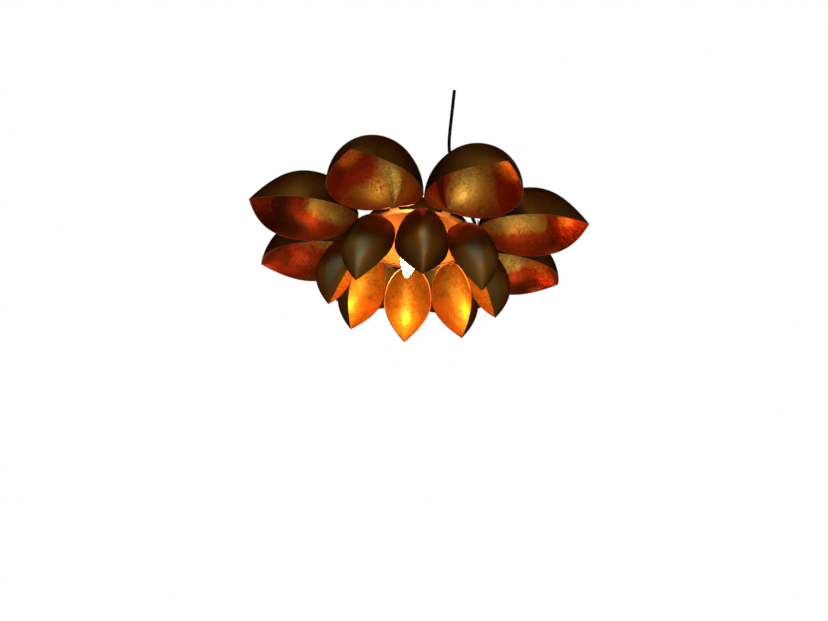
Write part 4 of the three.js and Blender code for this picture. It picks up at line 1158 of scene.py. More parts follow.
@dataclass
class Petal:
    """The arched shell of one petal, in its own frame: X from root to tip, Z out of its back.

    It is fullest at full_at of its length. From there its rims draw together by rim_power and its back comes
    down by depth_power. Camber bows its rims, bend curls its tip, and keel draws its back to a fine ridge
    from keel_from on.
    """

    length: float
    half_width: float
    depth: float
    camber: float
    bend: float
    tilt_deg: float
    full_at: float
    rim_power: float
    depth_power: float
    wall: float = 0.0012
    keel: float = 0.14
    keel_from: float = 0.7
    flatter_back: float = 0.0
    flattening: float = 1.4
    round_end_steps: int = 16
    tip_steps: int = 22
    girth_steps: int = 44
    crown_steps: int = 240
    crown_within_deg: float = 60.0

    def fullness(self, share: float, power: float) -> float:
        """How full the petal is, from 0 at its ends to 1 at its widest place.

        Args:
            share: How far along the petal, from 0 to 1.
            power: How slowly it narrows to the tip.

        Returns:
            The fullness there.
        """
        if share < self.full_at:
            return math.sqrt(max(0.0, 1 - ((self.full_at - share) / self.full_at) ** 2))
        return 1 - ((share - self.full_at) / (1 - self.full_at)) ** power

    def skin_point(self, share: float, girth: float, inset: float) -> Vector:
        """A point on the shell.

        Args:
            share: How far along the petal, from 0 to 1.
            girth: Angle from one rim over the back to the other, in radians.
            inset: How far in from the outer face.

        Returns:
            The point.
        """
        slope = self.half_width * self.rim_power / ((1 - self.full_at) * self.length)
        setback = inset * math.hypot(1, 1 / slope)
        width = self.fullness(share, self.rim_power)
        height = self.fullness(share, self.depth_power)
        ridge = self.keel * smooth_share((share - self.keel_from) / (1 - self.keel_from))
        to_tip = (share - self.full_at) / (1 - self.full_at)
        power = 1 - self.flatter_back * smooth_share(to_tip * self.flattening)
        arch = (1 - ridge) * max(0.0, math.sin(girth)) ** power + ridge * (1 - abs(math.cos(girth)))
        droop = -self.camber * width + self.bend * (share ** 2 - 1)
        return Vector((
            inset + share * (self.length - inset - setback),
            (self.half_width - inset) * width * math.cos(girth),
            droop + (self.depth - inset) * height * arch,
        ))

    def stations(self) -> list[float]:
        """Where along the petal the shell has a row of points.

        Returns:
            Shares of the length, from root to tip.
        """
        quarter = math.pi / 2
        round_end = [self.full_at * (1 - math.cos(quarter * i / self.round_end_steps))
                     for i in range(self.round_end_steps + 1)]
        return round_end + [self.full_at + (1 - self.full_at) * i / self.tip_steps
                            for i in range(1, self.tip_steps + 1)]

    def seat(self, root_radius: float, root_level: float) -> Matrix:
        """Where the petal's frame stands, before it is turned to its azimuth."""
        turn = Matrix.Rotation(math.radians(-self.tilt_deg), 4, "Y")
        return Matrix.Translation((root_radius, 0, root_level)) @ turn

    def crown(self) -> Vector:
        """The highest place of the round end.

        Returns:
            The place, from the petal's root.
        """
        turn = self.seat(0, 0)
        best = Vector((0, 0, 0))
        for step in range(self.crown_steps + 1):
            angle = math.radians(self.crown_within_deg * step / self.crown_steps)
            share = self.full_at * (1 - math.cos(angle))
            place = turn @ self.skin_point(share, math.pi / 2, 0)
            if place.z > best.z:
                best = place
        return best

    @staticmethod
    def wear_and_light_at(marks: Sequence[Patch], share: float, girth: float) -> list[float]:
        """How strongly each patch kind shows at a place on the petal."""
        return [sum(mark.at(share, girth) for mark in marks if mark.kind is kind) for kind in WearAndLight]

    def shell(self, name: str, place: Matrix, number: int, leafed: Sequence[Patch],
              rubbed_and_painted_light: Sequence[Patch]) -> bpy.types.Mesh:
        """The shell's mesh: outer skin, inner skin and the rim between them.

        Args:
            name: The mesh's name.
            place: Where the petal stands.
            number: The petal's number, which makes its leaf unlike its neighbours'.
            leafed: Where the leaf inside shines, is worn or carries a painted glow of bulb light.
            rubbed_and_painted_light: Where the bronze outside carries a painted sage highlight.

        Returns:
            The mesh, with its sides' material numbers.
        """
        stations = self.stations()
        across = self.girth_steps + 1
        points, along, ridge, skin, wear_and_light = [], [], [], [], []
        for inset, marks in ((0.0, rubbed_and_painted_light), (self.wall, leafed)):
            for share in stations:
                for j in range(across):
                    girth = math.pi * j / self.girth_steps
                    points.append(place @ self.skin_point(share, girth, inset))
                    along.append(share)
                    ridge.append(math.sin(girth))
                    skin += [share * self.length, girth / math.pi * 2 * self.half_width, number]
                    wear_and_light += self.wear_and_light_at(marks, share, girth)
        second = len(stations) * across
        faces, numbers = [], []
        for i in range(len(stations) - 1):
            for j in range(self.girth_steps):
                a, b = i * across + j, (i + 1) * across + j
                faces += [(a, a + 1, b + 1, b), (second + a, second + b, second + b + 1, second + a + 1)]
                numbers += [Side.OUTSIDE.value, Side.INSIDE.value]
            for j in (0, self.girth_steps):
                a, b = i * across + j, (i + 1) * across + j
                faces.append((a, b, second + b, second + a))
                numbers.append(Side.RIM.value)
        mesh = bpy.data.meshes.new(name)
        mesh.from_pydata([tuple(p) for p in points], [], faces)
        mesh.polygons.foreach_set("material_index", numbers)
        for label, given in (("along", along), ("ridge", ridge), ("skin", skin), ("wear_and_light", wear_and_light)):
            mark_points(mesh, label, given)
        work = bmesh.new()
        work.from_mesh(mesh)
        bmesh.ops.remove_doubles(work, verts=work.verts, dist=MERGE_DISTANCE)
        bmesh.ops.dissolve_degenerate(work, edges=work.edges, dist=SLIVER_LENGTH)
        bmesh.ops.recalc_face_normals(work, faces=work.faces)
        work.to_mesh(mesh)
        work.free()
        return mesh


def smooth_share(share: float) -> float:
    """Smooth step of a share, held between 0 and 1."""
    held = min(1.0, max(0.0, share))
    return held * held * (3 - 2 * held)


@dataclass
class Rivet:
    """A domed rivet along Z, with a head at both ends."""

    radius: float = 0.0018
    head_radius: float = 0.0036
    head_height: float = 0.002
    straight_share: float = 0.15
    foot_share: float = 0.97
    dome_steps: int = 7
    segments: int = 24

    def mesh(self, name: str, low: float, high: float, place: Matrix) -> bpy.types.Mesh:
        """The rivet's mesh.

        Args:
            name: The mesh's name.
            low: The lower head's end.
            high: The upper head's end.
            place: Where the rivet's axis stands.

        Returns:
            The mesh.
        """
        foot = self.head_radius * self.foot_share
        lower, upper = low + self.head_height, high - self.head_height
        dome = []
        for i in range(self.dome_steps + 1):
            angle = math.pi / 2 * i / self.dome_steps
            rise = self.straight_share + (1 - self.straight_share) * math.cos(angle)
            dome.append((self.head_radius * math.sin(angle), self.head_height * rise))
        outline = [(r, lower - z) for r, z in dome]
        outline += [(foot, lower), (self.radius, lower), (self.radius, upper), (foot, upper)]
        outline += [(r, upper + z) for r, z in reversed(dome)]
        return revolved(name, outline, self.segments, place)


@dataclass
class PetalRings:
    """Both rings of petals, on the carrier ring."""

    count: int = 8
    front_deg: float = -90.0
    outer_start_deg: float = 3.1
    inner_start_deg: float = 5.1
    seat_gap: float = 0.0003
    ring_radius: float = 0.117
    ring_sheet: float = 0.002
    tab_standoff: float = 0.0071
    outer_root_above: float = 0.0019
    inner_rivet_in: float = 0.004
    outer_rivet_height: float = 0.011
    ring_bevel: float = 0.0004
    outer: Petal = field(default_factory=lambda: Petal(
        length=0.201, half_width=0.079, depth=0.091, camber=0.0163, bend=0.0, tilt_deg=-3.5,
        full_at=0.436, rim_power=2.62, depth_power=2.29))
    inner: Petal = field(default_factory=lambda: Petal(
        length=0.1516, half_width=0.0471, depth=0.0615, camber=0.0094, bend=0.0044, tilt_deg=-71.5,
        full_at=0.493, rim_power=1.74, depth_power=2.37, keel=0.08, keel_from=0.88, flatter_back=0.16))

    def build(self, finishes: Finishes) -> None:
        """Builds the petals and their rivets, and dresses the carrier ring.

        Args:
            finishes: The lamp's materials.
        """
        ring_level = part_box("carrier_ring")[0][2]
        outer_seat = self.outer.seat(self.ring_radius + self.tab_standoff + self.seat_gap,
                                     ring_level + self.ring_sheet + self.outer_root_above)
        crown = self.inner.crown()
        inner_seat = self.inner.seat(self.ring_radius - self.inner_rivet_in - crown.x,
                                     ring_level - self.seat_gap - crown.z)
        pitch = 360 / self.count
        outer_coats = (finishes.large_bronze, finishes.leaf, finishes.edge)
        inner_coats = (finishes.bronze, finishes.small_leaf, finishes.edge)
        rings = (
            (Ring.OUTER, self.outer, outer_seat, self.outer_start_deg + pitch / 2, outer_coats),
            (Ring.INNER, self.inner, inner_seat, self.inner_start_deg, inner_coats),
        )
        for ring, petal, seat, start_deg, coats in rings:
            for number in range(1, self.count + 1):
                node = f"{ring.value}_petal_{number}"
                azimuth_deg = start_deg + self.front_deg + pitch * (number - 1)
                turn = Matrix.Rotation(math.radians(azimuth_deg), 4, "Z")
                leafed, rubbed_and_painted_light = SMALL_LEAF_PATCHES, PAINTED_HIGHLIGHT_STREAKS[number]
                if ring is Ring.OUTER:
                    leafed, rubbed_and_painted_light = LEAF_PATCHES[number], ()
                mesh = petal.shell(node, turn @ seat, number, leafed, rubbed_and_painted_light)
                add_piece(f"{node}_shell", mesh, coats, Body.LAMP, (node,), sharp_deg=50.0)
                self.rivet(ring, number, turn, ring_level, finishes)
        dress_node("carrier_ring", finishes.dish_leaf, bevel=self.ring_bevel)

    def rivet(self, ring: Ring, number: int, turn: Matrix, ring_level: float, finishes: Finishes) -> None:
        """Builds one petal's rivet.

        Args:
            ring: Which ring the petal is in.
            number: The petal's number.
            turn: The turn to its azimuth.
            ring_level: The carrier ring's underside.
            finishes: The lamp's materials.
        """
        node = f"{ring.value}_petal_rivet_{number}"
        if ring is Ring.OUTER:
            level = ring_level + self.ring_sheet + self.outer_root_above + self.outer_rivet_height
            low, high = span_along(node, turn @ Vector((1, 0, 0)))
            place = turn @ Matrix.Translation((0, 0, level)) @ Matrix.Rotation(math.pi / 2, 4, "Y")
        else:
            low, high = span_along(node, Vector((0, 0, 1)))
            place = turn @ Matrix.Translation((self.ring_radius - self.inner_rivet_in, 0, 0))
        mesh = Rivet().mesh(node, low, high, place)
        add_piece(f"{node}_domed", mesh, (finishes.dish_leaf,), Body.LAMP, (node,),
                  sharp_deg=50.0)


# Dish


@dataclass
class Dish:
    """The spun dish, with a flange that lies on the carrier ring and a raised ring pressed in its crown."""

    wall: float = 0.0012
    rim_radius: float = 0.107
    height: float = 0.066
    crown_radius: float = 0.030
    stem_hole: float = 0.0053
    pad: tuple[float, float] = (0.0164, 0.0284)
    pad_height: float = 0.001
    pad_slant: float = 0.0006
    arc_steps: int = 28
    segments: int = 128
    skin_girth: float = 0.05
    skin_number: float = 9.0

    def arc(self, inset: float, foot: float) -> list[tuple[float, float]]:
        """Outline of the dome.

        Args:
            inset: How far in from the dome's outer face.
            foot: Level of the dome's foot.

        Returns:
            Radius and level of each corner, from the foot up.
        """
        last = math.acos(self.crown_radius / self.rim_radius)
        rise = (self.height - inset) / math.sin(last)
        angles = [last * i / self.arc_steps for i in range(self.arc_steps + 1)]
        return [((self.rim_radius - inset) * math.cos(a), foot + rise * math.sin(a)) for a in angles]

    def crown_pad(self, level: float, narrower: float) -> list[tuple[float, float]]:
        """Outline of the raised ring in the crown.

        Args:
            level: Level of the crown's sheet beside it.
            narrower: How much narrower it is on each side.

        Returns:
            Radius and level of each corner, from its outside inwards.
        """
        inside, outside = self.pad
        return [
            (outside + self.pad_slant - narrower, level),
            (outside - self.pad_slant - narrower, level + self.pad_height),
            (inside + self.pad_slant + narrower, level + self.pad_height),
            (inside - self.pad_slant + narrower, level),
        ]

    def build(self, finishes: Finishes) -> None:
        """Builds the dish.

        Args:
            finishes: The lamp's materials.
        """
        low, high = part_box("dish")
        flange_top = low[2] + self.wall
        crown = flange_top + self.height
        under = [
            (self.stem_hole, crown - self.wall), *reversed(self.crown_pad(crown - self.wall, self.wall / 2)),
            *reversed(self.arc(self.wall, flange_top)[:-1]), (self.rim_radius - self.wall, low[2]),
        ]
        outline = [
            (high[0], low[2]), (high[0], flange_top), *self.arc(0, flange_top), *self.crown_pad(crown, 0),
            (self.stem_hole, crown), *under,
        ]
        mesh = revolved("dish", outline, self.segments)
        inner = [Vector(corner) for corner in under]
        for polygon in mesh.polygons:
            middle = Vector((math.hypot(polygon.center.x, polygon.center.y), polygon.center.z))
            side = Side.INSIDE if self.on_line(middle, inner) else Side.OUTSIDE
            polygon.material_index = side.value
        skin = []
        for vertex in mesh.vertices:
            azimuth = math.atan2(vertex.co.y, vertex.co.x)
            skin += [azimuth * self.skin_girth, math.hypot(vertex.co.x, vertex.co.y), self.skin_number]
        mark_points(mesh, "skin", skin)
        coats = (finishes.large_bronze, finishes.dish_leaf)
        add_piece("dish_shell", mesh, coats, Body.LAMP, ("dish",), sharp_deg=30.0)

    def gland_place(self, azimuth_deg: float, rise_deg: float) -> Matrix:
        """The frame of a gland: origin on the dome's outer face, Z square to it.

        Args:
            azimuth_deg: Its azimuth.
            rise_deg: Its place on the dome's arc, up from the flange.

        Returns:
            The frame.
        """
        rise = self.height / math.sin(math.acos(self.crown_radius / self.rim_radius))
        angle = math.radians(rise_deg)
        flange_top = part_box("dish")[0][2] + self.wall
        place = (self.rim_radius * math.cos(angle), 0, flange_top + rise * math.sin(angle))
        lean = math.atan2(math.cos(angle) / self.rim_radius, math.sin(angle) / rise)
        turn = Matrix.Rotation(math.radians(azimuth_deg), 4, "Z")
        return turn @ Matrix.Translation(place) @ Matrix.Rotation(lean, 4, "Y")

    def on_line(self, place: Vector, line: Sequence[Vector]) -> bool:
        """Whether a place lies on a line of corners, within a small part of the wall.

        Args:
            place: Radius and level of the place.
            line: The line's corners.

        Returns:
            True where it lies on the line.
        """
        for start, end in zip(line, line[1:]):
            span = end - start
            share = min(1.0, max(0.0, (place - start).dot(span) / span.length_squared))
            if (start + span * share - place).length < self.wall / 8:
                return True
        return False


# Hanging gear on the axis


@dataclass
class HangingGear:
    """Hanging loop, stem and nuts on the lamp's axis."""

    eye_radius: float = 0.008
    bar_radius: float = 0.003
    socket_radius: float = 0.008
    socket_height: float = 0.013
    socket_taper: float = 0.0015
    socket_rounding: float = 0.0014
    eye_segments: int = 56
    bar_segments: int = 20
    stem_radius: float = 0.005
    stem_bore: float = 0.0036
    stem_pitch: float = 0.001
    thread_depth: float = 0.0004
    nut_flats: float = 0.008
    nut_bore: float = 0.00535
    flange_radius: float = 0.014
    bracket_bevel: float = 0.0004
    screw_bevel: float = 0.0003

    def eye(self) -> bpy.types.Mesh:
        """The eye's ring, round the origin's hook.

        Returns:
            The mesh.
        """
        ring = self.eye_radius + self.bar_radius
        points, faces = [], []
        for i in range(self.eye_segments):
            turn = 2 * math.pi * i / self.eye_segments
            for k in range(self.bar_segments):
                roll = 2 * math.pi * k / self.bar_segments
                radius = ring + self.bar_radius * math.cos(roll)
                points.append(Vector((radius * math.cos(turn), self.bar_radius * math.sin(roll),
                                      radius * math.sin(turn) - self.eye_radius)))
                following = ((i + 1) % self.eye_segments) * self.bar_segments
                after = (k + 1) % self.bar_segments
                faces.append((i * self.bar_segments + k, following + k, following + after,
                              i * self.bar_segments + after))
        return mesh_from("loop_eye", points, faces)

    def build(self, finishes: Finishes) -> None:
        """Builds the loop, and dresses the stem and the nuts.

        Args:
            finishes: The lamp's materials.
        """
        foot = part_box("hanging_loop")[0][2]
        top = foot + self.socket_height
        coats = (finishes.zinc,)
        top_radius = self.socket_radius - self.socket_taper
        corners = [(0, foot), (self.socket_radius, foot), (top_radius, top), (0, top)]
        outline = rounded(corners, self.socket_rounding)
        add_piece("loop_socket", revolved("loop_socket", outline, segments=48), coats, Body.LAMP)
        add_piece("loop_eye", self.eye(), coats, Body.LAMP, ("hanging_loop",))
        for node, flange in (("top_nut", self.flange_radius), ("lock_nut", 0.0)):
            low, high = (corner[2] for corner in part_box(node))
            mesh = revolved(node, hexagon(self.nut_flats, self.nut_bore, low, high, flange), segments=96)
            add_piece(f"{node}_chamfered", mesh, coats, Body.LAMP, (node,), sharp_deg=25.0)
        low, high = (corner[2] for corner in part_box("stem"))
        rows = thread(self.stem_radius, low, high, self.stem_pitch, self.thread_depth)
        mesh = revolved("stem", tube(rows, self.stem_bore, low, high), segments=32)
        add_piece("stem_threaded", mesh, coats, Body.LAMP, ("stem",), sharp_deg=60.0)
        dress_node("holder_bracket", finishes.zinc, bevel=self.bracket_bevel)
        dress_node("earth_screw", finishes.brass, bevel=self.screw_bevel)


# Lampholder and bulb


@dataclass
class HolderFrame:
    """Where the lampholder stands: under the bracket's lower leg, leaning a little to -X."""

    lean_deg: float = 7.0
    drop: float = 0.0657

    def place(self) -> Matrix:
        """The holder's frame in the lamp's."""
        return Matrix.Translation((0, 0, -self.drop)) @ Matrix.Rotation(math.radians(self.lean_deg), 4, "Y")


@dataclass
class LampHolder:
    """The black lampholder with its porcelain insert and screw shell."""

    frame: HolderFrame = field(default_factory=HolderFrame)
    radius: float = 0.014
    wall: float = 0.0014
    shell_top: float = -0.0136
    shell_length: float = 0.029
    shell_rounding: float = 0.0006
    flutes: int = 24
    flute_steps: int = 6
    flute_depth: float = 0.0005
    flute_margin: float = 0.003
    nut: tuple[float, float, float] = (0.007, 0.0023, 0.0053)
    nut_bore: float = 0.00535
    nipple: tuple[float, float] = (-0.0053, 0.0068)
    nipple_radii: tuple[float, float] = (0.0036, 0.005)
    nipple_pitch: float = 0.001
    nipple_thread_depth: float = 0.0004
    cap_top: float = -0.0003
    cap_bottom: float = -0.0133
    cap_roof: float = 0.006
    cap_slope: tuple[float, float] = (0.004, 0.001)
    cap_slope_foot: float = -0.0028
    cap_rounding: float = 0.0008
    groove_depth: float = 0.0004
    groove: tuple[float, float, float, float] = (0.0030, 0.0026, 0.0020, 0.0016)
    screw: tuple[float, float] = (-0.0359, -0.0189)
    screw_radii: tuple[float, float] = (0.0074, 0.0080)
    screw_pitch: float = 0.00282
    screw_thread_depth: float = 0.0003
    insert_bevel: float = 0.0004
    contact_bevel: float = 0.0001

    def add(self, node: str, mesh: bpy.types.Mesh, material: bpy.types.Material, slot: Slot,
            sharp_deg: float = 38.0) -> None:
        """Puts a piece made in the holder's own frame in the place of its CAD node.

        Args:
            node: The node.
            mesh: The piece's mesh.
            material: Its finish.
            slot: The record's slot; not used.
            sharp_deg: Edges sharper than this stay sharp.
        """
        mesh.transform(self.frame.place())
        add_piece(f"{node}_fine", mesh, (material,), Body.LAMP, (node,), sharp_deg)

    def cap(self) -> list[tuple[float, float]]:
        """Outline of the cap, with a groove round its foot.

        Returns:
            Radius and level of each corner.
        """
        inside, under = self.radius - self.wall, self.cap_top - self.cap_roof
        in_groove = self.radius - self.groove_depth
        upper, deep_upper, deep_lower, lower = (self.cap_bottom + height for height in self.groove)
        return rounded([
            (self.nut_bore, self.cap_top), (self.radius - self.cap_slope[0], self.cap_top),
            (self.radius - self.cap_slope[1], self.cap_slope_foot), (self.radius, under),
            (self.radius, upper), (in_groove, deep_upper), (in_groove, deep_lower), (self.radius, lower),
            (self.radius, self.cap_bottom), (inside, self.cap_bottom), (inside, under),
            (self.nut_bore, under),
        ], self.cap_rounding)

    def small_pieces(self, finishes: Finishes) -> None:
        """Builds the nut, the nipple, the cap and the screw shell.

        Args:
            finishes: The lamp's materials.
        """
        flats, low, high = self.nut
        mesh = revolved("holder_nut", hexagon(flats, self.nut_bore, low, high), segments=96)
        self.add("holder_nut", mesh, finishes.zinc, Slot.ZINC, sharp_deg=25.0)
        low, high = self.nipple
        bore, radius = self.nipple_radii
        rows = thread(radius, low, high, self.nipple_pitch, self.nipple_thread_depth)
        mesh = revolved("holder_nipple", tube(rows, bore, low, high), segments=32)
        self.add("holder_nipple", mesh, finishes.zinc, Slot.ZINC, sharp_deg=60.0)
        mesh = revolved("holder_cap", self.cap(), segments=72)
        self.add("holder_cap", mesh, finishes.plastic, Slot.BLACK_PLASTIC)
        low, high = self.screw
        bore, radius = self.screw_radii
        rows = thread(bore, low, high, self.screw_pitch, -self.screw_thread_depth)
        mesh = revolved("holder_thread", tube(rows, radius, low, high), segments=48)
        self.add("holder_thread", mesh, finishes.brass, Slot.BRASS, sharp_deg=60.0)

    def build(self, finishes: Finishes) -> None:
        """Builds the shell and the small pieces, and dresses the others.

        Args:
            finishes: The lamp's materials.
        """
        bottom = self.shell_top - self.shell_length
        inside = self.radius - self.wall
        outline = rounded([(inside, self.shell_top), (self.radius, self.shell_top), (self.radius, bottom),
                           (inside, bottom)], self.shell_rounding)
        mesh = revolved("holder_shell", outline, self.flutes * self.flute_steps)
        for vertex in mesh.vertices:
            self.flute(vertex, bottom)
        self.add("holder_shell", mesh, finishes.plastic, Slot.BLACK_PLASTIC)
        self.small_pieces(finishes)
        dress_node("holder_insert", finishes.porcelain, bevel=self.insert_bevel)
        dress_node("holder_contact", finishes.brass, bevel=self.contact_bevel)

    def flute(self, vertex: bpy.types.MeshVertex, bottom: float) -> None:
        """Presses the grip flutes into one point of the shell's outside, between its two ends.

        Args:
            vertex: The point.
            bottom: Level of the shell's lower end.
        """
        radius = math.hypot(vertex.co.x, vertex.co.y)
        low, high = bottom + self.flute_margin, self.shell_top - self.flute_margin
        if radius < self.radius - self.wall / 2 or not low < vertex.co.z < high:
            return
        wave = 0.5 - 0.5 * math.cos(self.flutes * math.atan2(vertex.co.y, vertex.co.x))
        share = (radius - self.flute_depth * wave) / radius
        vertex.co.x *= share
        vertex.co.y *= share


@dataclass
class Bulb:
    """The burning candle bulb."""

    frame: HolderFrame = field(default_factory=HolderFrame)
    glass_top: float = -0.0399
    length: float = 0.080
    neck_radius: float = 0.0076
    belly_radius: float = 0.0175
    belly_at: float = 0.034
    tip_radius: float = 0.004
    taper_turn: float = 1.27
    taper_power: float = 1.15
    wall: float = 0.0009
    steps: int = 22
    tip_angles_deg: tuple[float, ...] = (20.0, 40.0, 60.0, 75.0)
    segments: int = 48
    cap_top: float = -0.0226
    cap_bottom: float = -0.0396
    cap_radius: float = 0.0069
    cap_wall: float = 0.0006
    cap_bore_gap: float = 0.0003
    cap_skirt: float = 0.0022
    cap_opening: float = 0.0016
    cap_crown: float = 0.003
    cap_taper: float = 0.003
    cap_shoulder: tuple[float, float] = (0.0016, 0.0006)
    thread_depth: float = 0.0005
    pitch: float = 0.00282
    contact_bevel: float = 0.0003

    def cap(self) -> bpy.types.Mesh:
        """The screw cap, with its rolled thread.

        Returns:
            The mesh.
        """
        taper_foot = self.cap_top - self.cap_taper
        neck = self.cap_bottom + self.cap_skirt
        rows = thread(self.cap_radius, neck, taper_foot, self.pitch, self.thread_depth)
        inside = self.cap_radius - self.cap_wall - self.cap_bore_gap
        set_in, set_down = self.cap_shoulder

        def outline(turn: float) -> list[tuple[float, float]]:
            """The cap's outline at one angle.

            Args:
                turn: The angle round its axis.

            Returns:
                Radius and level of each corner.
            """
            return [
                (inside, self.cap_bottom), (self.cap_radius, self.cap_bottom), *rows(turn),
                (self.cap_radius - set_in, self.cap_top - set_down), (self.cap_crown, self.cap_top),
                (self.cap_opening, self.cap_top), (self.cap_opening, self.cap_top - self.cap_wall),
                (inside, taper_foot),
            ]

        return revolved("bulb_cap", outline, self.segments, self.frame.place())

    def outline(self, inset: float) -> list[tuple[float, float]]:
        """Half outline of the glass.

        Args:
            inset: How far in from the outer face.

        Returns:
            Radius and level of each corner, from the neck to the tip.
        """
        neck, belly, tip = (r - inset for r in (self.neck_radius, self.belly_radius, self.tip_radius))
        made = []
        for i in range(self.steps + 1):
            share = i / self.steps
            swell = (1 - math.cos(share * math.pi)) / 2
            made.append((neck + (belly - neck) * swell, self.glass_top - share * self.belly_at))
        taper = self.length - self.belly_at - self.tip_radius
        edge = math.cos(self.taper_turn) ** self.taper_power
        for i in range(1, self.steps + 1):
            share = i / self.steps
            narrowing = (math.cos(share * self.taper_turn) ** self.taper_power - edge) / (1 - edge)
            made.append((tip + (belly - tip) * narrowing, self.glass_top - self.belly_at - share * taper))
        middle = self.glass_top - self.length + self.tip_radius
        for angle_deg in self.tip_angles_deg:
            turn = math.radians(angle_deg)
            made.append((tip * math.cos(turn), middle - (self.tip_radius - inset) * math.sin(turn)))
        made.append((0.0, self.glass_top - self.length + inset))
        return made

    def build(self, finishes: Finishes) -> None:
        """Builds the glass and the cap, and dresses the contact and the glass stem.

        Args:
            finishes: The lamp's materials.
        """
        outline = [*reversed(self.outline(self.wall)), *self.outline(0)]
        mesh = revolved("bulb_glass", outline, self.segments, self.frame.place())
        add_piece("bulb_candle", mesh, (finishes.glass,), Body.BULB, ("bulb_glass",))
        dress_node("bulb_stem", finishes.porcelain)
        add_piece("bulb_cap_rolled", self.cap(), (finishes.brass,), Body.BULB, ("bulb_cap",),
                  sharp_deg=60.0)
        dress_node("bulb_contact", finishes.zinc, bevel=self.contact_bevel)


# Cord, gland and leads


@dataclass
class SupplyCord:
    """The black cord, its gland in the dish and the three leads inside."""

    radius: float = 0.0035
    sides: int = 20
    path_steps: int = 6
    dish: Dish = field(default_factory=Dish)
    gland_azimuth_deg: float = 38.0
    gland_rise_deg: float = 23.7
    body_radius: float = 0.0075
    body_length: float = 0.008
    taper_length: float = 0.018
    thread_radius: float = 0.0055
    thread_length: float = 0.008
    sheath_end: float = 0.006
    seat_sink: float = 0.0003
    foot_bevel: float = 0.0005
    head_bevel: float = 0.0015
    grip: tuple[float, float] = (0.0009, 0.0017)
    grip_depth: float = 0.0002
    grip_flutes: int = 24
    taper_radii: tuple[float, float] = (0.0054, 0.0046)
    rib_pitch: float = 0.0024
    rib_depth: float = 0.0007
    rib_shares: tuple[float, float, float, float] = (0.10, 0.28, 0.80, 0.98)
    gland_nut: tuple[float, float, float] = (0.0075, -0.0062, -0.0027)
    nut_clearance: float = 0.00035
    core_radius: float = 0.0012
    core_off_centre: float = 0.47
    core_depth: float = 0.001
    core_reach: float = 0.00004
    copper_share: float = 0.5
    copper_reach: float = 0.00006
    core_sides: int = 16
    lead_smoothing: int = 2
    route: Sequence[tuple[float, float, float]] = (
        (0.0943, 0.0737, -0.0623),
        (0.0988, 0.0772, -0.0583),
        (0.1060, 0.0812, -0.0510),
        (0.1126, 0.0838, -0.0420),
        (0.1172, 0.0850, -0.0315),
        (0.1190, 0.0851, -0.0210),
        (0.1172, 0.0849, -0.0110),
        (0.1116, 0.0844, 0.0010),
        (0.1034, 0.0826, 0.0180),
        (0.0946, 0.0798, 0.0375),
        (0.0862, 0.0764, 0.0585),
        (0.0784, 0.0724, 0.0810),
        (0.0712, 0.0680, 0.1050),
        (0.0649, 0.0636, 0.1270),
        (0.0613, 0.0598, 0.1440),
        (0.0604, 0.0562, 0.1660),
        (0.0614, 0.0522, 0.1880),
        (0.0630, 0.0490, 0.2120),
        (0.0647, 0.0460, 0.2360),
        (0.0663, 0.0438, 0.2600),
        (0.0678, 0.0420, 0.2823),
    )

    def build(self, finishes: Finishes) -> None:
        """Builds the cord, the gland and its nut, and dresses the leads.

        Args:
            finishes: The lamp's materials.
        """
        path = smooth_path([Vector(p) for p in self.route], self.path_steps)
        length = sum((b - a).length for a, b in zip(path, path[1:]))
        mesh = swept("cord", path, self.radius, self.sides)
        cord = add_piece("supply_cord", mesh, (finishes.sheath,), Body.LAMP, ("cord",),
                         sharp_deg=60.0)
        self.cores(path, finishes)
        seat = self.dish.gland_place(self.gland_azimuth_deg, self.gland_rise_deg)
        coats = (finishes.plastic,)
        mesh = revolved("cord_gland", self.gland_outline, 4 * self.grip_flutes, seat)
        add_piece("cord_gland_ribbed", mesh, coats, Body.LAMP, ("cord_gland",))
        flats, low, high = self.gland_nut
        outline = hexagon(flats, self.thread_radius + self.nut_clearance, low, high)
        mesh = revolved("gland_nut", outline, segments=96, place=seat)
        add_piece("gland_nut_chamfered", mesh, coats, Body.LAMP, ("gland_nut",),
                  sharp_deg=25.0)
        dress_node("live_lead", finishes.brown_lead, smooth=self.lead_smoothing)
        dress_node("neutral_lead", finishes.blue_lead, smooth=self.lead_smoothing)
        dress_node("earth_lead", finishes.green_lead, smooth=self.lead_smoothing)
        LOG.info("cord is %.3f m long", length)

    def ribs(self) -> list[tuple[float, float]]:
        """Outline of the gland's ribbed taper.

        Returns:
            Radius and level of each corner, from the gland's body up.
        """
        root, tip = self.taper_radii
        count = round(self.taper_length / self.rib_pitch)
        rib = self.taper_length / count
        valley_end, top_start, top_end, valley_start = self.rib_shares
        made = []
        for i in range(count):
            foot = self.body_length + self.taper_length * i / count
            radius = root + (tip - root) * (i + 1) / count
            made += [
                (radius - self.rib_depth, foot + rib * valley_end), (radius, foot + rib * top_start),
                (radius, foot + rib * top_end), (radius - self.rib_depth, foot + rib * valley_start),
            ]
        return made

    def gland_outline(self, turn: float) -> list[tuple[float, float]]:
        """Outline of the gland with its fluted body and its taper.

        Args:
            turn: The angle round its axis.

        Returns:
            Radius and level of each corner.
        """
        grip = self.body_radius - self.grip_depth - self.grip_depth * math.cos(turn * self.grip_flutes)
        inner_end = -self.thread_length - self.sheath_end
        return [
            (0.0, inner_end), (self.radius, inner_end),
            (self.radius, -self.thread_length), (self.thread_radius, -self.thread_length),
            (self.thread_radius, self.seat_sink), (self.body_radius - self.foot_bevel, self.seat_sink),
            (grip, self.grip[0]), (grip, self.body_length - self.grip[1]),
            (self.body_radius - self.head_bevel, self.body_length), *self.ribs(),
            (0.0, self.body_length + self.taper_length),
        ]

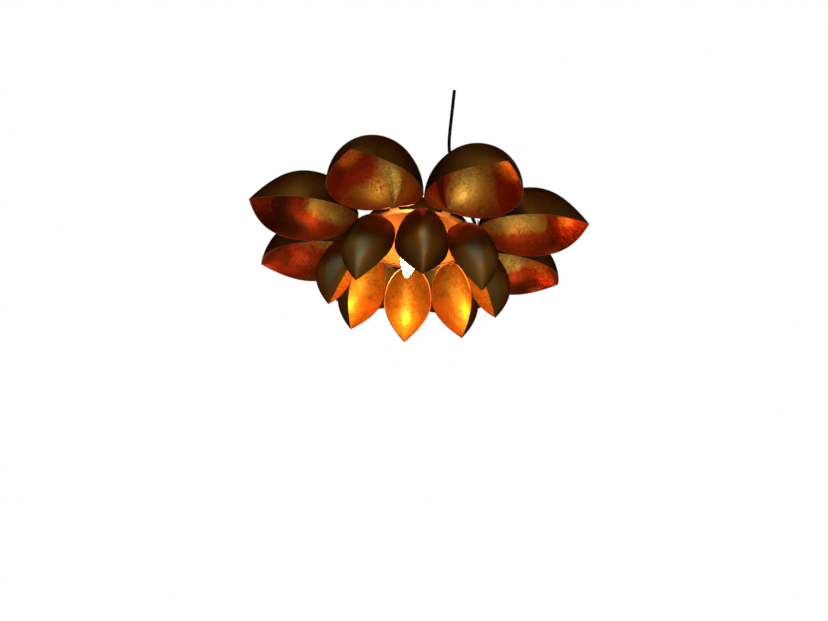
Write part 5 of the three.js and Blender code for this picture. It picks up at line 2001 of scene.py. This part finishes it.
    def cores(self, path: Sequence[Vector], finishes: Finishes) -> list[bpy.types.Object]:
        """The three cores that show in the cord's cut end.

        Args:
            path: The cord's middle line.
            finishes: The lamp's materials.

        Returns:
            The cores and their copper.
        """
        ahead = (path[-1] - path[-2]).normalized()
        across = ahead.orthogonal().normalized()
        copper_radius = self.core_radius * self.copper_share
        copper = ("copper", copper_radius, self.copper_reach, finishes.copper, Slot.BRASS)
        leads = ((finishes.brown_lead, Slot.LEAD_BROWN), (finishes.blue_lead, Slot.LEAD_BLUE),
                 (finishes.green_lead, Slot.LEAD_GREEN))
        made = []
        for k, (finish, slot) in enumerate(leads):
            turn = Matrix.Rotation(2 * math.pi * k / len(leads), 3, ahead)
            off = turn @ across * self.radius * self.core_off_centre
            core = ("core", self.core_radius, self.core_reach, finish, slot)
            for name, radius, reach, material, kept in (core, copper):
                ends = [path[-1] + off - ahead * self.core_depth, path[-1] + off + ahead * reach]
                mesh = swept(f"{name}_{k + 1}", ends, radius, self.core_sides)
                made.append(add_piece(f"cord_{name}_{k + 1}", mesh, (material,), Body.LAMP))
        return made


# Studio


@dataclass(frozen=True)
class SoftLight:
    """One soft rectangular light."""

    name: str
    place: Triple
    size: tuple[float, float]
    watts: float
    colour: Colour = (1.0, 1.0, 1.0)


@dataclass
class Studio:
    """Camera at the photograph's angle, plain floor, white background and soft light."""

    focal_px: float = 864.569
    image_px: tuple[int, int] = (828, 621)
    aim_px: tuple[float, float] = (415.446, 245.413)
    sensor: float = 36.0
    distance: float = 1.635975
    elevation_deg: float = 28.5197
    roll_deg: float = -2.5591
    aim_level: float = -0.1167
    clip_end: float = 100.0
    floor_level: float = -1.55
    floor_size: float = 24.0
    floor_colours: tuple[Colour, Colour] = ((0.90, 0.90, 0.90), (0.84, 0.84, 0.83))
    background: Colour = (1.0, 1.0, 1.0)
    fill: float = 0.22
    lights: tuple[SoftLight, ...] = (
        SoftLight("front_light", place=(-0.45, -2.1, 0.95), size=(0.4, 0.8), watts=30.0,
                  colour=(0.94, 1.0, 0.90)),
        SoftLight("low_light", place=(0.25, -1.9, -1.05), size=(0.7, 0.7), watts=22.0),
        SoftLight("top_light", place=(0.3, 0.4, 2.2), size=(1.4, 1.4), watts=14.0),
        SoftLight("back_light", place=(0.6, 2.1, 1.3), size=(1.2, 1.2), watts=18.0),
    )

    def camera(self) -> None:
        """Sets the camera where the photograph was taken from."""
        wide, high = self.image_px
        elevation = math.radians(self.elevation_deg)
        forward = Vector((0, math.cos(elevation), math.sin(elevation)))
        right = Vector((1, 0, 0))
        level = Matrix((right, right.cross(forward), forward))
        roll = Matrix.Rotation(math.radians(self.roll_deg), 3, "Z")
        aim = Vector(((self.aim_px[0] - wide / 2) / self.focal_px,
                      -(self.aim_px[1] - high / 2) / self.focal_px, 1.0))
        swing = Vector((0, 0, 1)).rotation_difference(aim).to_matrix()
        rows = swing @ roll @ level
        axes = Matrix((rows[0], rows[1], -rows[2])).transposed().to_4x4()
        lens = bpy.data.cameras.new("camera")
        lens.sensor_width = self.sensor
        lens.lens = self.focal_px * self.sensor / wide
        lens.clip_end = self.clip_end
        eye = bpy.data.objects.new("camera", lens)
        bpy.context.scene.collection.objects.link(eye)
        eye.matrix_world = Matrix.Translation(Vector((0, 0, self.aim_level)) - forward * self.distance) @ axes
        bpy.context.scene.camera = eye

    def floor(self) -> None:
        """Lays the pale floor."""
        half = self.floor_size / 2
        edges = ((-half, -half), (half, -half), (half, half), (-half, half))
        corners = [Vector((x, y, self.floor_level)) for x, y in edges]
        mesh = mesh_from("floor", corners, [(0, 1, 2, 3)])
        made, tree = new_material("pale_floor")
        speckle = tree.noise(scale=40.0, detail=3.0)
        tree.surface(Base_Color=tree.mix(speckle * 0.1, *self.floor_colours), Roughness=0.8)
        mesh.materials.append(made)
        floor = bpy.data.objects.new("floor", mesh)
        bpy.context.scene.collection.objects.link(floor)

    def world(self) -> None:
        """A white background, and an even grey light."""
        world = bpy.data.worlds.new("studio")
        bpy.context.scene.world = world
        tree = ShaderTree(world)
        rays = tree.node("ShaderNodeLightPath").outputs
        seen = Value(tree, rays["Is Camera Ray"]) | Value(tree, rays["Is Glossy Ray"])
        seen = seen | Value(tree, rays["Is Transmission Ray"])
        grey = (self.fill,) * 3
        colour = tree.mix(seen, grey, self.background)
        background = tree.node("ShaderNodeBackground", None, {"Color": colour, "Strength": 1.0})
        tree.node("ShaderNodeOutputWorld", None, {"Surface": background.outputs[0]})

    def light(self, given: SoftLight) -> None:
        """Adds one soft light that faces the lamp.

        Args:
            given: The light.
        """
        light = bpy.data.lights.new(given.name, "AREA")
        light.shape = "RECTANGLE"
        light.size, light.size_y = given.size
        light.energy = given.watts
        light.color = given.colour
        stand = bpy.data.objects.new(given.name, light)
        bpy.context.scene.collection.objects.link(stand)
        stand.location = given.place
        to_lamp = Vector((0, 0, self.aim_level)) - Vector(given.place)
        stand.rotation_euler = to_lamp.to_track_quat("-Z", "Y").to_euler()

    def build(self) -> None:
        """Builds the studio."""
        bpy.context.scene.view_settings.view_transform = "Standard"
        self.camera()
        self.floor()
        self.world()
        for given in self.lights:
            self.light(given)


def main() -> None:
    """Builds the studio and the lamp's sub-assemblies in order."""
    logging.basicConfig(level=logging.INFO, format="%(name)s %(message)s")
    Studio().build()
    finishes = Finishes()
    for assembly in (SupplyCord(), PetalRings(), Dish(), HangingGear(), LampHolder(), Bulb()):
        assembly.build(finishes)
        LOG.info("%s built", type(assembly).__name__)


if __name__ == "__main__":
    main()
